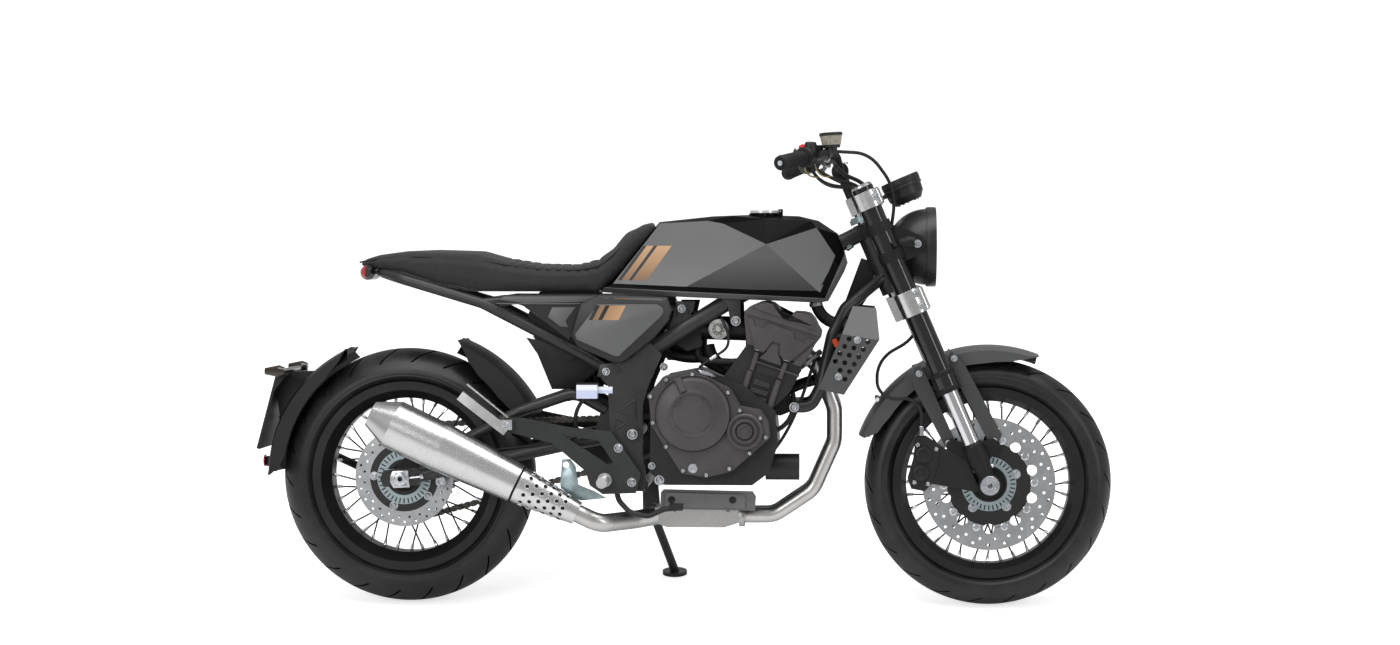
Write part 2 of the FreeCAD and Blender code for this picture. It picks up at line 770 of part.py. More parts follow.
FOOT_LUG = [(1316, 400), (1330, 410), (1352, 402), (1400, 402), (1428, 412), (1446, 402), (1442, 386), (1408, 346),
            (1356, 346), (1318, 382)]
feet = []
stanchions = []
fork_tubes = []
for side, sign in SIDES.items():
    leg = sign * size("fork_half_spread")
    foot_middle = sign * (foot_face + size("foot_width") / 2.0)
    boss = rod(f"{side}_foot_boss", FRONT_AXLE + ACROSS * (sign * foot_face),
               FRONT_AXLE + ACROSS * (sign * foot_outer), size("foot_boss_radius") * 2.0)
    shank_profile = [(0.0, 0.0), (0.0, 17.0), (40.0, 20.0), (62.0, 26.5), (size("foot_top"), 26.5),
                     (size("foot_top"), 0.0)]
    shank = turned(f"{side}_foot_shank", [shank_profile], on_fork(0.0, 0.0, leg), FORK_UP)
    eye = rod(f"{side}_foot_eye", FRONT_AXLE + ACROSS * (sign * 60.0),
              FRONT_AXLE + ACROSS * (sign * 150.0), size("axle_diameter"))
    socket = rod(f"{side}_foot_socket", on_fork(60.0, 0.0, leg), on_fork(120.0, 0.0, leg),
                 size("stanchion_diameter"))
    inner_trim = block(f"{side}_foot_trim", (1300.0, -foot_face, 200.0), (1500.0, foot_face, 450.0))
    lug = plate(f"{side}_foot_lug", [flat(FOOT_LUG)], 11.0, sign * (foot_face + 5.5))
    solid = fused(f"{side}_foot_casting", [boss, shank, lug])
    feet.append(cut(f"{side}_foot", solid, [eye, socket, inner_trim]))
    stanchions.append(rod(f"{side}_stanchion", on_fork(60.0, 0.0, leg),
                          on_fork(size("fork_tube_start") + 4.0, 0.0, leg), size("stanchion_diameter")))
    half = size("fork_tube_diameter") / 2.0
    collar = size("fork_collar_diameter") / 2.0
    start = size("fork_tube_start")
    stop = size("fork_tube_end")
    tube_profile = [
        (start - 4.0, size("stanchion_diameter") / 2.0), (start - 4.0, collar), (start + 36.0, collar),
        (start + 36.0, half), (stop, half), (stop, 0.0), (start + 4.0, 0.0),
        (start + 4.0, size("stanchion_diameter") / 2.0),
    ]
    fork_tubes.append(turned(f"{side}_fork_tube", [tube_profile], on_fork(0.0, 0.0, leg), FORK_UP))
node("fork_feet", feet)
node("fork_stanchions", stanchions)
node("fork_tubes", fork_tubes)


def clamp(name, start, height, waist):
    """A fork clamp: two split rings on the legs joined by a bridge over the stem."""
    wall = size("clamp_wall")
    outer = size("fork_tube_diameter") / 2.0 + wall
    spread = size("fork_half_spread")
    rings = [rod(f"{name}_{side}_ring", on_fork(start, 0.0, sign * spread),
                 on_fork(start + height, 0.0, sign * spread), outer * 2.0) for side, sign in SIDES.items()]
    bridge = document.addObject("Part::Box", name + "_bridge")
    bridge.Length = waist
    bridge.Width = spread * 2.0
    bridge.Height = height
    corner = on_fork(start, -size("fork_offset") - waist / 2.0 + 8.0, -spread)
    bridge.Placement = Placement(corner, Rotation(ACROSS, -size("rake_angle")))
    bores = [rod(f"{name}_{side}_bore", on_fork(start - 20.0, 0.0, sign * spread),
                 on_fork(start + height + 20.0, 0.0, sign * spread), size("fork_tube_diameter"))
             for side, sign in SIDES.items()]
    return cut(name, fused(name + "_casting", rings + [bridge]), bores)


lower_start = size("lower_clamp_start")
top_start = size("top_clamp_start")
lower = clamp("lower_clamp_body", lower_start, size("lower_clamp_height"), 62.0)
stem = rod("steering_stem", on_steering(lower_start + 10.0), on_steering(top_start), size("stem_radius") * 2.0)
top = clamp("top_clamp_body", top_start, size("top_clamp_height"), 56.0)
node("fork_clamps", [fused("fork_clamps_and_stem", [lower, stem, top])])

# Frame: head tube, main tubes, down tubes, pivot plates and cross members

head_start = size("head_tube_start")
head_end = size("head_tube_end")
head_radius = size("head_tube_radius")
stem_bore = size("stem_radius") + size("bearing_fit")
head_tube = turned("head_tube", [[
    (head_start, stem_bore), (head_start, head_radius), (head_end, head_radius), (head_end, stem_bore)]],
    STEERING_ROOT, FORK_UP)
stem_room = rod("stem_room", on_steering(head_start - 60.0), on_steering(head_end + 60.0), stem_bore * 2.0)
frame_pieces = []
main_place = size("main_tube_place")
PIVOT_PLATE = [
    (590, 640), (607, 640), (632, 615), (600, 540), (586, 495), (586, 358), (596, 306), (590, 284),
    (572, 284), (507, 427), (502, 540), (486, 556), (486, 584), (510, 590), (560, 606),
]


def main_tube_line(sign):
    """The corners of one main tube, from the pivot plate to the head tube."""
    return [Vector(596, sign * (main_place + 20.0), 618), Vector(700, sign * (main_place + 6.0), 684),
            Vector(790, sign * main_place, 741), on_steering(680.0, -6.0, sign * 16.0)]


def down_tube_line(sign):
    """The corners of one down tube, from the head tube to the engine's front mount."""
    return [on_steering(560.0, -8.0, sign * 14.0), Vector(1072, sign * 62, 722), Vector(1040, sign * 84, 655),
            Vector(1012, sign * 88, 527), Vector(990, sign * 92, 486), Vector(950, sign * 96, 486)]


for side, sign in SIDES.items():
    plate_place = sign * size("pivot_plate_place")
    frame_pieces.append(plate(f"{side}_pivot_plate", [flat(PIVOT_PLATE)], size("pivot_plate_thickness"), plate_place))
    frame_pieces.append(tube(f"{side}_main_tube", main_tube_line(sign), size("main_tube_diameter"), 120.0))
    frame_pieces.append(tube(f"{side}_down_tube", down_tube_line(sign), size("down_tube_diameter"), 50.0))
    frame_pieces.append(plate(f"{side}_subframe_ear", [flat([
        (640, 650), (668, 738), (692, 738), (704, 700)])], 8.0, sign * (main_place + 8.0)))
for name, x, z, half in (("upper", 590.0, 632.0, 126.0), ("lower", 584.0, 300.0, 126.0)):
    frame_pieces.append(rod(f"{name}_cross_tube", Vector(x, -half, z), Vector(x, half, z), 30.0))
frame_pieces.append(rod("pivot_bolt", Vector(size("pivot_x"), -146.0, size("pivot_z")),
                        Vector(size("pivot_x"), 146.0, size("pivot_z")), size("pivot_bolt_radius") * 2.0))
stand_lug_face = 118.0
frame_pieces.append(plate("stand_bracket", [flat([
    (566, 308), (604, 308), (612, 214), (600, 196), (580, 196), (568, 214)])], 10.0, stand_lug_face - 5.0))
frame_pieces.append(rod("stand_bolt", Vector(size("stand_pivot_x"), stand_lug_face - 8.0, size("stand_pivot_z")),
                        Vector(size("stand_pivot_x"), stand_lug_face + size("stand_lug_thickness") + 4.0,
                               size("stand_pivot_z")), 10.0))
frame_pieces.append(head_tube)
main_frame = cut("main_frame_bored", fused("main_frame_welded", frame_pieces), [stem_room])
node("main_frame", [main_frame])

# Rear subframe: a loop under the seat on two pairs of rails

rail_place = size("subframe_place")
rail = size("subframe_diameter")
rails = [tube("seat_loop", [
    Vector(500, -rail_place, 574), Vector(446, -rail_place, 607), Vector(195, -rail_place, 736),
    Vector(-12, -rail_place + 20.0, 797), Vector(-66, -rail_place + 66.0, 812),
    Vector(-66, rail_place - 66.0, 812), Vector(-12, rail_place - 20.0, 797), Vector(195, rail_place, 736),
    Vector(446, rail_place, 607), Vector(500, rail_place, 574)], rail, 70.0)]
for side, sign in SIDES.items():
    rails.append(tube(f"{side}_upper_rail", [
        Vector(676, sign * 92.7, 722), Vector(500, sign * 92.7, 744), Vector(300, sign * 98, 746),
        Vector(190, sign * rail_place, 738)], 22.0, 60.0))
node("rear_subframe", [fused("rear_subframe_welded", rails)])

# Swinging arm with its bracing and the axle blocks

arm_place = size("arm_place")
arm_pieces = [rod("arm_pivot_tube", Vector(size("pivot_x"), -120.0, size("pivot_z")),
                  Vector(size("pivot_x"), 120.0, size("pivot_z")), 34.0)]
for side, sign in SIDES.items():
    arm_pieces.append(tube(f"{side}_arm", [
        Vector(14, sign * arm_place, 315), Vector(258, sign * arm_place, 366),
        Vector(400, sign * arm_place, 398), Vector(484, sign * (arm_place - 14.0), 412)],
        size("arm_diameter"), 90.0))
    arm_pieces.append(plate(f"{side}_arm_lug", [flat([
        (470, 392), (470, 430), (486, 486), (512, 486), (582, 432), (582, 410), (560, 402)])],
        12.0, sign * 113.0))
    arm_pieces.append(tube(f"{side}_arm_brace", [
        Vector(40, sign * arm_place, 326), Vector(150, sign * arm_place, 404), Vector(284, sign * 126, 474),
        Vector(420, sign * 114, 520), Vector(496, sign * 113, 478)], size("arm_brace_diameter"), 60.0))
    arm_pieces.append(plate(f"{side}_dropout", [flat([
        (-42, 292), (-50, 312), (-42, 332), (40, 340), (60, 322), (40, 296)])],
        size("dropout_thickness"), sign * arm_place))
arm_pieces.append(rod("arm_bridge", Vector(404, -118, 514), Vector(404, 118, 514), 30.0))
arm_pieces.append(rod("arm_lower_bridge", Vector(420, -128, 402), Vector(420, 128, 402), 30.0))
axle_room = rod("arm_axle_room", Vector(0, -180, REAR_AXLE.z), Vector(0, 180, REAR_AXLE.z), size("axle_diameter"))
pivot_room = rod("arm_pivot_room", Vector(size("pivot_x"), -160, size("pivot_z")),
                 Vector(size("pivot_x"), 160, size("pivot_z")), size("pivot_bolt_radius") * 2.0)
stand_holes = [rod(f"{side}_paddock_hole", Vector(40, sign * (dropout_outer - 20.0), 318),
                   Vector(40, sign * (dropout_outer + 10.0), 318), size("paddock_hole_diameter"))
               for side, sign in SIDES.items()]
node("swingarm", [cut("swingarm_bored", fused("swingarm_welded", arm_pieces), [axle_room, pivot_room] + stand_holes)])

# Suspension strut behind the engine

shock_base = Vector(404, 0, 532)
shock_top = Vector(574, 0, 622)
shock_line = shock_top - shock_base
reach = shock_line.Length
coils = 6
coil_pitch = (reach * 0.62 - 26.0) / coils
spring_side = []
for number in range(coils):
    foot = 22.0 + coil_pitch * number
    spring_side += [(foot, 33.0), (foot + coil_pitch * 0.3, 40.0), (foot + coil_pitch * 0.7, 40.0)]
shock_body = turned("shock_body", [[
    (0.0, 0.0), (0.0, 15.0), (18.0, 15.0), (18.0, 42.0), (22.0, 42.0)] + spring_side + [
    (reach * 0.62 - 4.0, 33.0), (reach * 0.62 - 4.0, 42.0), (reach * 0.62, 42.0), (reach * 0.62, 22.0),
    (reach - 1.0, 22.0), (reach - 1.0, 0.0)]], shock_base, shock_line)
bridge_room = rod("shock_bridge_room", Vector(404, -60, 514), Vector(404, 60, 514), 30.0 + size("seat_gap") * 2.0)
node("rear_shock", [cut("shock_trimmed", shock_body, [bridge_room])])

# Engine: crankcase, inclined cylinders and head, covers on both sides

right_face = -size("crankcase_right_face")
left_face = size("crankcase_left_face")
CRANKCASE = [
    (606, 500), (640, 560), (720, 576), (830, 540), (905, 480), (912, 400), (890, 330), (850, 300),
    (640, 300), (604, 330),
]
crankcase_middle = (right_face + left_face) / 2.0
crankcase = plate("crankcase_block", [flat(CRANKCASE)], left_face - right_face, crankcase_middle)
countershaft = rod("countershaft", Vector(size("engine_sprocket_x"), left_face - 4.0, size("engine_sprocket_z")),
                   Vector(size("engine_sprocket_x"), size("chain_place") + 6.0, size("engine_sprocket_z")), 30.0)
engine_sprocket = rod("engine_sprocket", Vector(size("engine_sprocket_x"), size("chain_place") - 3.0, size("engine_sprocket_z")),
                      Vector(size("engine_sprocket_x"), size("chain_place") + 3.0, size("engine_sprocket_z")),
                      (pitch_radii[1] - half_height - size("seat_gap")) * 2.0)
oil_filter = rod("oil_filter", Vector(880, -52, 338), Vector(962, -52, 338), 64.0)
rear_mount = rod("engine_rear_mount", Vector(598, -120, 566), Vector(598, 82, 566), 24.0)
front_mount = rod("engine_front_mount", Vector(950, -80.2, 486), Vector(950, 80.2, 486), 28.0)
front_web = plate("engine_front_web", [flat([(886, 474), (926, 512), (956, 498), (942, 473), (915, 462)])], 120.0, 0.0)
CYLINDER = [(752, 520), (884, 470), (941, 524), (975, 590), (838, 640)]
cylinders = plate("cylinder_block", [flat(CYLINDER)], size("cylinder_half_width") * 2.0, 0.0)

HEAD = [(838, 640), (975, 590), (1002, 640), (1015, 656), (1016, 666), (1008, 679), (1000, 696), (989, 709),
        (974, 713), (955, 714), (944, 707), (936, 697), (924, 703), (916, 713), (910, 726), (899, 735), (884, 740),
        (865, 738), (843, 729), (831, 718), (831, 700)]
CAM_COVER = [(833, 717), (843, 729), (865, 738), (884, 740), (899, 735), (910, 726), (916, 713), (924, 703), (936, 697),
             (944, 707), (955, 714), (974, 713), (989, 709), (1000, 696), (1008, 679), (1015, 666), (1013, 658),
             (987, 666), (893, 696), (834, 713)]
HEAD_PANEL = [(839, 700), (851, 700), (857, 683), (877, 676), (892, 689), (947, 668), (952, 651), (972, 643), (988, 654),
              (1001, 646), (991, 640), (940, 597), (922, 604), (917, 617), (918, 640), (899, 647), (877, 619),
              (866, 623), (856, 628), (843, 689)]
WEDGE = [(867, 606), (880, 616), (899, 640), (912, 635), (912, 616), (918, 603), (919, 588), (888, 598)]
FRONT_PANEL = [(998, 633), (994, 634), (946, 592), (966, 585), (977, 600)]
LOWER_PANEL = [(861, 594), (916, 575), (909, 556), (859, 572)]
FINS = [[(856, 557), (894, 544), (891, 531), (850, 543)], [(846, 537), (890, 524), (886, 513), (842, 525)],
        [(840, 518), (886, 507), (882, 496), (836, 507)], [(834, 500), (880, 489), (877, 479), (831, 493)]]
RIBS = [((862, 619), (848, 577)), ((844, 574), (824, 510)), ((930, 594), (916, 557)), ((913, 552), (887, 473))]
head_pieces = [plate("head_block", [flat(HEAD)], size("head_half_width") * 2.0, 0.0)]
head_side = size("head_half_width")
for side, sign in SIDES.items():
    for name, outline, rise in (("cam_cover", CAM_COVER, 6.0), ("head_panel", HEAD_PANEL, 5.0),
                                ("head_wedge", WEDGE, 3.5), ("front_panel", FRONT_PANEL, 4.0)):
        head_pieces.append(plate(f"{side}_{name}", [flat(outline)], rise + 2.0, sign * (head_side + rise / 2.0 - 1.0)))
node("cylinder_head", [fused("head_cast", head_pieces)])

cylinder_side = size("cylinder_half_width")
case_pieces = [crankcase, countershaft, engine_sprocket, oil_filter, front_mount, front_web, cylinders]
for side, sign in SIDES.items():
    for number, outline in enumerate([LOWER_PANEL] + FINS):
        case_pieces.append(plate(f"{side}_fin_{number}", [flat(outline)], 8.0, sign * (cylinder_side + 1.0)))
    for number, (top_end, low_end) in enumerate(RIBS[1::2]):
        case_pieces.append(rod(f"{side}_rib_{number}", Vector(top_end[0], sign * cylinder_side, top_end[1]),
                               Vector(low_end[0], sign * cylinder_side, low_end[1]), 14.0))
node("engine_crankcase", [fused("engine_case", case_pieces)])

COVER = [
    (604, 517), (640, 560), (708, 575), (796, 531), (822, 489), (870, 480), (888, 452), (891, 417),
    (801, 336), (742, 322), (682, 331), (611, 445),
]
cover_depth = size("clutch_cover_depth")
clutch_centre = Vector(710, 0, 473)
small_centre = Vector(834, 0, 432)
clutch_base = plate("clutch_cover_base", [flat(COVER)], cover_depth, right_face - cover_depth / 2.0)
dome = size("clutch_dome_depth")
clutch_radius = size("clutch_radius")
clutch_dome = turned("clutch_dome", [[
    (0.0, 0.0), (0.0, clutch_radius + 9.0), (3.0, clutch_radius + 8.4), (3.0, clutch_radius + 5.0),
    (1.0, clutch_radius + 4.4), (1.0, clutch_radius + 2.6), (4.0, clutch_radius + 2.6),
    (dome - 4.0, clutch_radius + 1.0), (dome - 0.5, clutch_radius - 6.0), (dome + 6.5, 56.0), (dome + 8.5, 55.0),
    (dome + 8.5, 50.0), (dome + 5.8, 48.8), (dome + 5.8, 0.0)]],
    clutch_centre + ACROSS * (right_face - cover_depth), -ACROSS)
small_dome = turned("small_dome", [[
    (0.0, 0.0), (0.0, 44.0), (9.0, 43.0), (11.5, 40.0), (11.5, 36.5), (7.0, 34.5), (7.0, 32.0), (12.5, 29.0),
    (13.0, 24.0), (6.0, 21.0), (6.0, 19.5), (11.0, 17.5), (11.5, 14.0), (8.0, 12.5), (8.0, 0.0)]],
    small_centre + ACROSS * (right_face - cover_depth), -ACROSS)
COVER_BOSSES = [(608, 515), (614, 452), (646, 395), (686, 338), (742, 328), (797, 343), (845, 380), (884, 418),
                (871, 464), (822, 482), (794, 525), (646, 555), (708, 568)]
cover_bosses = [rod(f"cover_boss_{number}", Vector(x, right_face - cover_depth + 4.0, z),
                    Vector(x, right_face - cover_depth - 2.5, z), 15.0)
                for number, (x, z) in enumerate(COVER_BOSSES)]
node("clutch_cover", [fused("clutch_cover_cast", [clutch_base, clutch_dome, small_dome] + cover_bosses)])

GENERATOR = [(708, 500), (740, 523), (884, 469), (896, 440), (880, 352), (840, 322), (740, 322), (716, 352),
             (706, 470)]
generator_depth = size("generator_cover_depth")
generator = plate("generator_cover_base", [flat(GENERATOR)], generator_depth, left_face + generator_depth / 2.0)
sprocket_lid = plate("sprocket_lid", [flat([
    (602, 480), (636, 500), (730, 500), (730, 340), (640, 340), (602, 370)])], 14.0, size("chain_place") + 16.0 + 7.0)
generator_disc = turned("generator_disc", [[
    (0.0, 0.0), (0.0, 78.0), (8.0, 76.0), (16.0, 62.0), (16.0, 0.0)]],
    Vector(800, left_face + generator_depth, 440), ACROSS)
node("generator_cover", [fused("generator_cover_cast", [generator, sprocket_lid, generator_disc])])

# Intake: two throttle bodies between the head and the air box

throttle_pieces = []
for side, sign in SIDES.items():
    throttle_pieces.append(rod(f"{side}_throttle", Vector(846, sign * 46, 672), Vector(716, sign * 46, 676), 56.0))
throttle_pieces.append(rod("throttle_shaft", Vector(768, -92, 674), Vector(768, 84, 674), 18.0))
throttle_pieces.append(turned("throttle_pulley", [[(0.0, 0.0), (0.0, 26.0), (8.0, 26.0), (8.0, 18.0), (16.0, 18.0), (16.0, 0.0)]],
                              Vector(768, -84, 674), -ACROSS))
throttle_pieces.append(plate("air_box_front", [flat([(640, 650), (640, 716), (724, 716), (724, 630), (690, 620)])], 150.0, 0.0))
throttle_room = plate("throttle_head_room", [flat(HEAD)], size("head_half_width") * 2.0, 0.0)
node("throttle_bodies", [cut("throttle_seated", fused("throttle_assembly", throttle_pieces), [throttle_room])])

# Radiator behind the front wheel, its side guards and hoses

RADIATOR_FOOT = Vector(1041.3, 0, 558.7)
radiator_tilt = 20.0
radiator_width = size("radiator_half_width")
depth = size("radiator_thickness")


def on_radiator(forward, up, y=0.0):
    """A point measured forward from the radiator's back and up from its foot."""
    turn = math.radians(radiator_tilt)
    x = forward * math.cos(turn) + up * math.sin(turn)
    z = up * math.cos(turn) - forward * math.sin(turn)
    return RADIATOR_FOOT + Vector(x, y, z)


core = document.addObject("Part::Box", "radiator_core")
bind(core, "Length", depth)
bind(core, "Width", radiator_width * 2.0)
core.Height = 156.0
core.Placement = Placement(on_radiator(0.0, 0.0, -radiator_width), Rotation(ACROSS, radiator_tilt))
radiator_pieces = [core]
tube_rooms = []
for side, sign in SIDES.items():
    radiator_pieces.append(rod(f"{side}_radiator_foot", Vector(1040, sign * 84, 655), Vector(1085, sign * 84, 655), 18.0))
    tube_rooms.append(tube(f"{side}_radiator_tube_room", down_tube_line(sign),
                           size("down_tube_diameter") + size("seat_gap") * 2.0, 50.0))
radiator_cast = cut("radiator_seated", fused("radiator_whole", radiator_pieces), tube_rooms)
node("radiator", [radiator_cast])
GUARD = [(1091, 731), (1147, 726), (1155, 651), (1070, 518), (1009, 532), (1066, 666)]
guard_right = Vector(22.5, 0, -3.6)
guard_down = Vector(-10.9, 0, -17.8)
guard_first = Vector(1082.1, 0, 652.1)
GUARD_HOLES = [(0, 0), (2, 0), (0, 1), (1, 1), (2, 1), (0, 2), (1, 2), (2, 2), (0, 3), (1, 3), (2, 3), (1, 4), (2, 4), (2, 5)]
guard_circles = []
for right, down in GUARD_HOLES:
    middle = guard_first + guard_right * right + guard_down * down
    guard_circles.append(("circle", middle.x, middle.z, size("guard_hole_radius")))
guards = []
guard_place = radiator_width + 8.0 + size("guard_thickness") / 2.0
for side, sign in SIDES.items():
    guard = plate(f"{side}_guard_plate", [flat(GUARD)] + guard_circles, size("guard_thickness"), sign * guard_place)
    stud_line = [rod(f"{side}_guard_stud_{number}", on_radiator(forward, up, sign * radiator_width),
                     on_radiator(forward, up, sign * (guard_place + 3.0)), 14.0)
                 for number, (forward, up) in enumerate(((13.4, 8.0), (26.0, 106.0)))]
    guards.append(fused(f"{side}_guard", [guard] + stud_line))
node("radiator_guards", guards)

# Exhaust: two header pipes, a collector, a link pipe and the silencer

header = size("header_diameter")
spread = size("header_spread")
pipes = []
for side, sign in SIDES.items():
    pipes.append(tube(f"{side}_header", [
        Vector(972, sign * spread, 614), Vector(1008, sign * spread, 582), Vector(1047, sign * spread, 480),
        Vector(1047, sign * spread, 400), Vector(995, sign * (spread - 6.0), 282),
        Vector(900, sign * (spread - 16.0) - 12.0, 219), Vector(800, sign * (spread - 20.0) - 24.0, 219)],
        header, 60.0))
COLLECTOR = [(812, 240), (836, 222), (812, 202), (780, 192), (640, 192), (612, 204), (612, 240)]
collector = plate("collector_box", [flat(COLLECTOR)], 104.0, -34.0)
link = tube("link_pipe", [
    Vector(640, -44, 221), Vector(566, -100, 212), Vector(486, -198.5, 211), Vector(432, -200, 237)],
    size("link_pipe_diameter"), 80.0)
ports = [plate("exhaust_head_room", [flat(HEAD)], size("head_half_width") * 2.0, 0.0),
         plate("exhaust_cylinder_room", [flat(CYLINDER)], size("cylinder_half_width") * 2.0, 0.0)]
node("exhaust_pipes", [cut("exhaust_trimmed", fused("exhaust_welded", pipes + [collector, link]), ports)])
SHIELD = [(626, 238), (627, 278), (634, 286), (850, 282), (858, 270), (856, 235)]
shield = plate("heat_shield_plate", [flat(SHIELD)], 3.0, -100.0)
shield_studs = [rod(f"heat_shield_stud_{number}", Vector(x, -100.0, 236.0), Vector(x, -86.3, 236.0), 10.0)
                for number, x in enumerate((660.0, 790.0))]
node("exhaust_heat_shield", [fused("heat_shield", [shield] + shield_studs)])

muffler_front = Vector(432, -200, 237)
muffler_rear = Vector(-60, -size("muffler_place"), 474)
muffler_line = muffler_rear - muffler_front
length = muffler_line.Length
ring_radius = size("muffler_ring_radius")
body_radius = size("muffler_radius")
mouth = size("muffler_mouth_radius")
link_room = size("link_pipe_diameter") / 2.0 + size("seat_gap")
muffler_profile = [
    (-2.0, link_room), (-2.0, mouth), (20.0, mouth + 3.0), (150.0, ring_radius - 2.0), (160.0, ring_radius - 2.0),
    (160.0, ring_radius), (360.0, body_radius), (length - 58.0, body_radius), (length, 31.0), (length, 24.0),
    (length - 60.0, 24.0), (length - 60.0, 0.0), (4.0, 0.0), (4.0, link_room),
]
node("muffler", [turned("muffler_shell", [muffler_profile], muffler_front, muffler_line)])

# Fuel tank: faceted sides, a flat top and a tunnel for the main tubes

half_tank = size("tank_half_width")


def tank_point(x, z, share):
    """A corner of the tank's left side, its place across as a share of the half width."""
    return Vector(x, half_tank * share, z)


def on_facet(corners, x, z):
    """The point at x and z on the flat facet through three corners."""
    base = corners[0]
    normal = (corners[1] - base).cross(corners[2] - base)
    return Vector(x, base.y - (normal.x * (x - base.x) + normal.z * (z - base.z)) / normal.y, z)


tank_heel = tank_point(512, 784, 0.76)
tank_shoulder = tank_point(883, 879, 0.90)
tank_top = tank_point(740, 936, 0.48)
tank_nose = tank_point(1006, 767, 0.87)
tank_brow = tank_point(1003, 919, 0.50)
knee_facet = (tank_heel, tank_shoulder, tank_top)
tank_knee = on_facet(knee_facet, 692, 777)
lower_facet = (tank_knee, tank_shoulder, tank_nose)
nose_facet = (tank_shoulder, tank_nose, tank_brow)
tank_back_top = on_facet(knee_facet, 622, 930)
tank_front_top = on_facet(knee_facet, 777, 929)
tank_belly = on_facet(lower_facet, 845, 770)
tank_chin = on_facet(nose_facet, 1013, 777)
tank_cheek = on_facet(nose_facet, 1049, 842)
RIM_ABOVE = [tank_point(*row) for row in (
    (490, 774, 0.74), (702, 762, 1.05), (829, 757, 0.99), (1006, 749, 0.89), (1026, 755, 0.85), (1060, 816, 0.60))]
RIM_BELOW = [tank_point(*row) for row in (
    (480, 763, 0.66), (560, 758, 0.78), (700, 751, 0.97), (828, 746, 0.92), (930, 742, 0.88), (1010, 738, 0.80),
    (1032, 742, 0.76), (1070, 812, 0.52))]
CROWN = [tank_point(*row) for row in (
    (620, 933, 0.20), (745, 945, 0.30), (800, 948, 0.40), (880, 940, 0.55), (990, 936, 0.35))]
FRONT = [tank_point(*row) for row in ((1076, 834, 0.46), (1064, 880, 0.44), (1052, 905, 0.32))]
KEEL = [Vector(point.x, 0, point.z) for point in RIM_BELOW]
RIDGE = [Vector(x, 0, z) for x, z in (
    (617, 934), (749, 948), (854, 952), (960, 948), (1007, 937), (1055, 905), (1067, 880), (1079, 834))]
panel_edge = [tank_heel, tank_knee, tank_belly, tank_nose, tank_chin, tank_cheek]
left_side = [
    (tank_heel, tank_back_top, tank_top, tank_front_top, tank_shoulder, tank_knee),
    (tank_shoulder, tank_nose, tank_belly, tank_knee),
    (tank_shoulder, tank_brow, tank_cheek, tank_chin, tank_nose),
]


def strip(first, second):
    """Triangles between two rows of corners, row by row."""
    faces = []
    for index in range(len(first) - 1):
        faces.append((first[index], first[index + 1], second[index + 1]))
        faces.append((first[index], second[index + 1], second[index]))
    return faces


left_side += strip([tank_back_top, tank_top, tank_front_top, tank_shoulder, tank_brow], CROWN)
left_side += strip(panel_edge, RIM_ABOVE)
left_side += strip(RIM_BELOW, KEEL)
left_side += strip([tank_cheek, tank_brow], FRONT[:2])
left_side += strip(FRONT, [RIDGE[7], RIDGE[6], RIDGE[5]])
left_side += [
    (RIM_ABOVE[0], RIM_ABOVE[1], RIM_BELOW[1]), (RIM_ABOVE[0], RIM_BELOW[1], RIM_BELOW[0]),
    (RIM_ABOVE[1], RIM_BELOW[2], RIM_BELOW[1]), (RIM_ABOVE[1], RIM_ABOVE[2], RIM_BELOW[3]),
    (RIM_ABOVE[1], RIM_BELOW[3], RIM_BELOW[2]), (RIM_ABOVE[2], RIM_ABOVE[3], RIM_BELOW[4]),
    (RIM_ABOVE[2], RIM_BELOW[4], RIM_BELOW[3]), (RIM_ABOVE[3], RIM_BELOW[5], RIM_BELOW[4]),
    (RIM_ABOVE[3], RIM_ABOVE[4], RIM_BELOW[6]), (RIM_ABOVE[3], RIM_BELOW[6], RIM_BELOW[5]),
    (RIM_ABOVE[4], RIM_ABOVE[5], RIM_BELOW[7]), (RIM_ABOVE[4], RIM_BELOW[7], RIM_BELOW[6]),
    (CROWN[0], CROWN[1], RIDGE[1]), (CROWN[0], RIDGE[1], RIDGE[0]), (CROWN[1], CROWN[2], RIDGE[1]),
    (CROWN[2], RIDGE[2], RIDGE[1]), (CROWN[2], CROWN[3], RIDGE[2]), (CROWN[3], RIDGE[3], RIDGE[2]),
    (CROWN[3], CROWN[4], RIDGE[3]), (CROWN[4], RIDGE[4], RIDGE[3]), (CROWN[4], tank_brow, RIDGE[4]),
    (tank_brow, FRONT[1], FRONT[2]), (tank_brow, FRONT[2], RIDGE[5]), (tank_brow, RIDGE[5], RIDGE[4]),
    (tank_cheek, RIM_ABOVE[5], FRONT[0]), (RIM_ABOVE[5], RIM_BELOW[7], FRONT[0]),
    (RIM_BELOW[7], KEEL[7], RIDGE[7]), (RIM_BELOW[7], RIDGE[7], FRONT[0]),
    (RIM_BELOW[0], RIM_ABOVE[0], KEEL[0]), (RIM_ABOVE[0], tank_heel, KEEL[0]), (tank_heel, RIDGE[0], KEEL[0]),
    (tank_heel, tank_back_top, RIDGE[0]), (tank_back_top, CROWN[0], RIDGE[0]),
]
right_side = [tuple(Vector(point.x, -point.y, point.z) for point in corners[::-1]) for corners in left_side]
tank_skin = skinned("tank_skin", left_side + right_side)
tunnel = [plate("tank_tunnel", [flat([(470, 700), (470, 764), (700, 764), (800, 790), (1060, 820), (1100, 700)])],
                96.0, 0.0)]
for side, sign in SIDES.items():
    tunnel.append(tube(f"{side}_tank_groove", main_tube_line(sign),
                       size("main_tube_diameter") + size("tank_tube_gap") * 2.0, 120.0))
filler_base = Vector(size("filler_x"), 0, 951)
filler_ring = size("filler_radius") + 3.0
filler_neck = rod("filler_neck", filler_base - UPWARD * 14.0, filler_base + UPWARD * 3.0, filler_ring * 2.0)
hinge_x = size("filler_x") + size("filler_radius") + 6.0
hinge_z = filler_base.z + 3.0 + size("cap_thickness") * 0.75
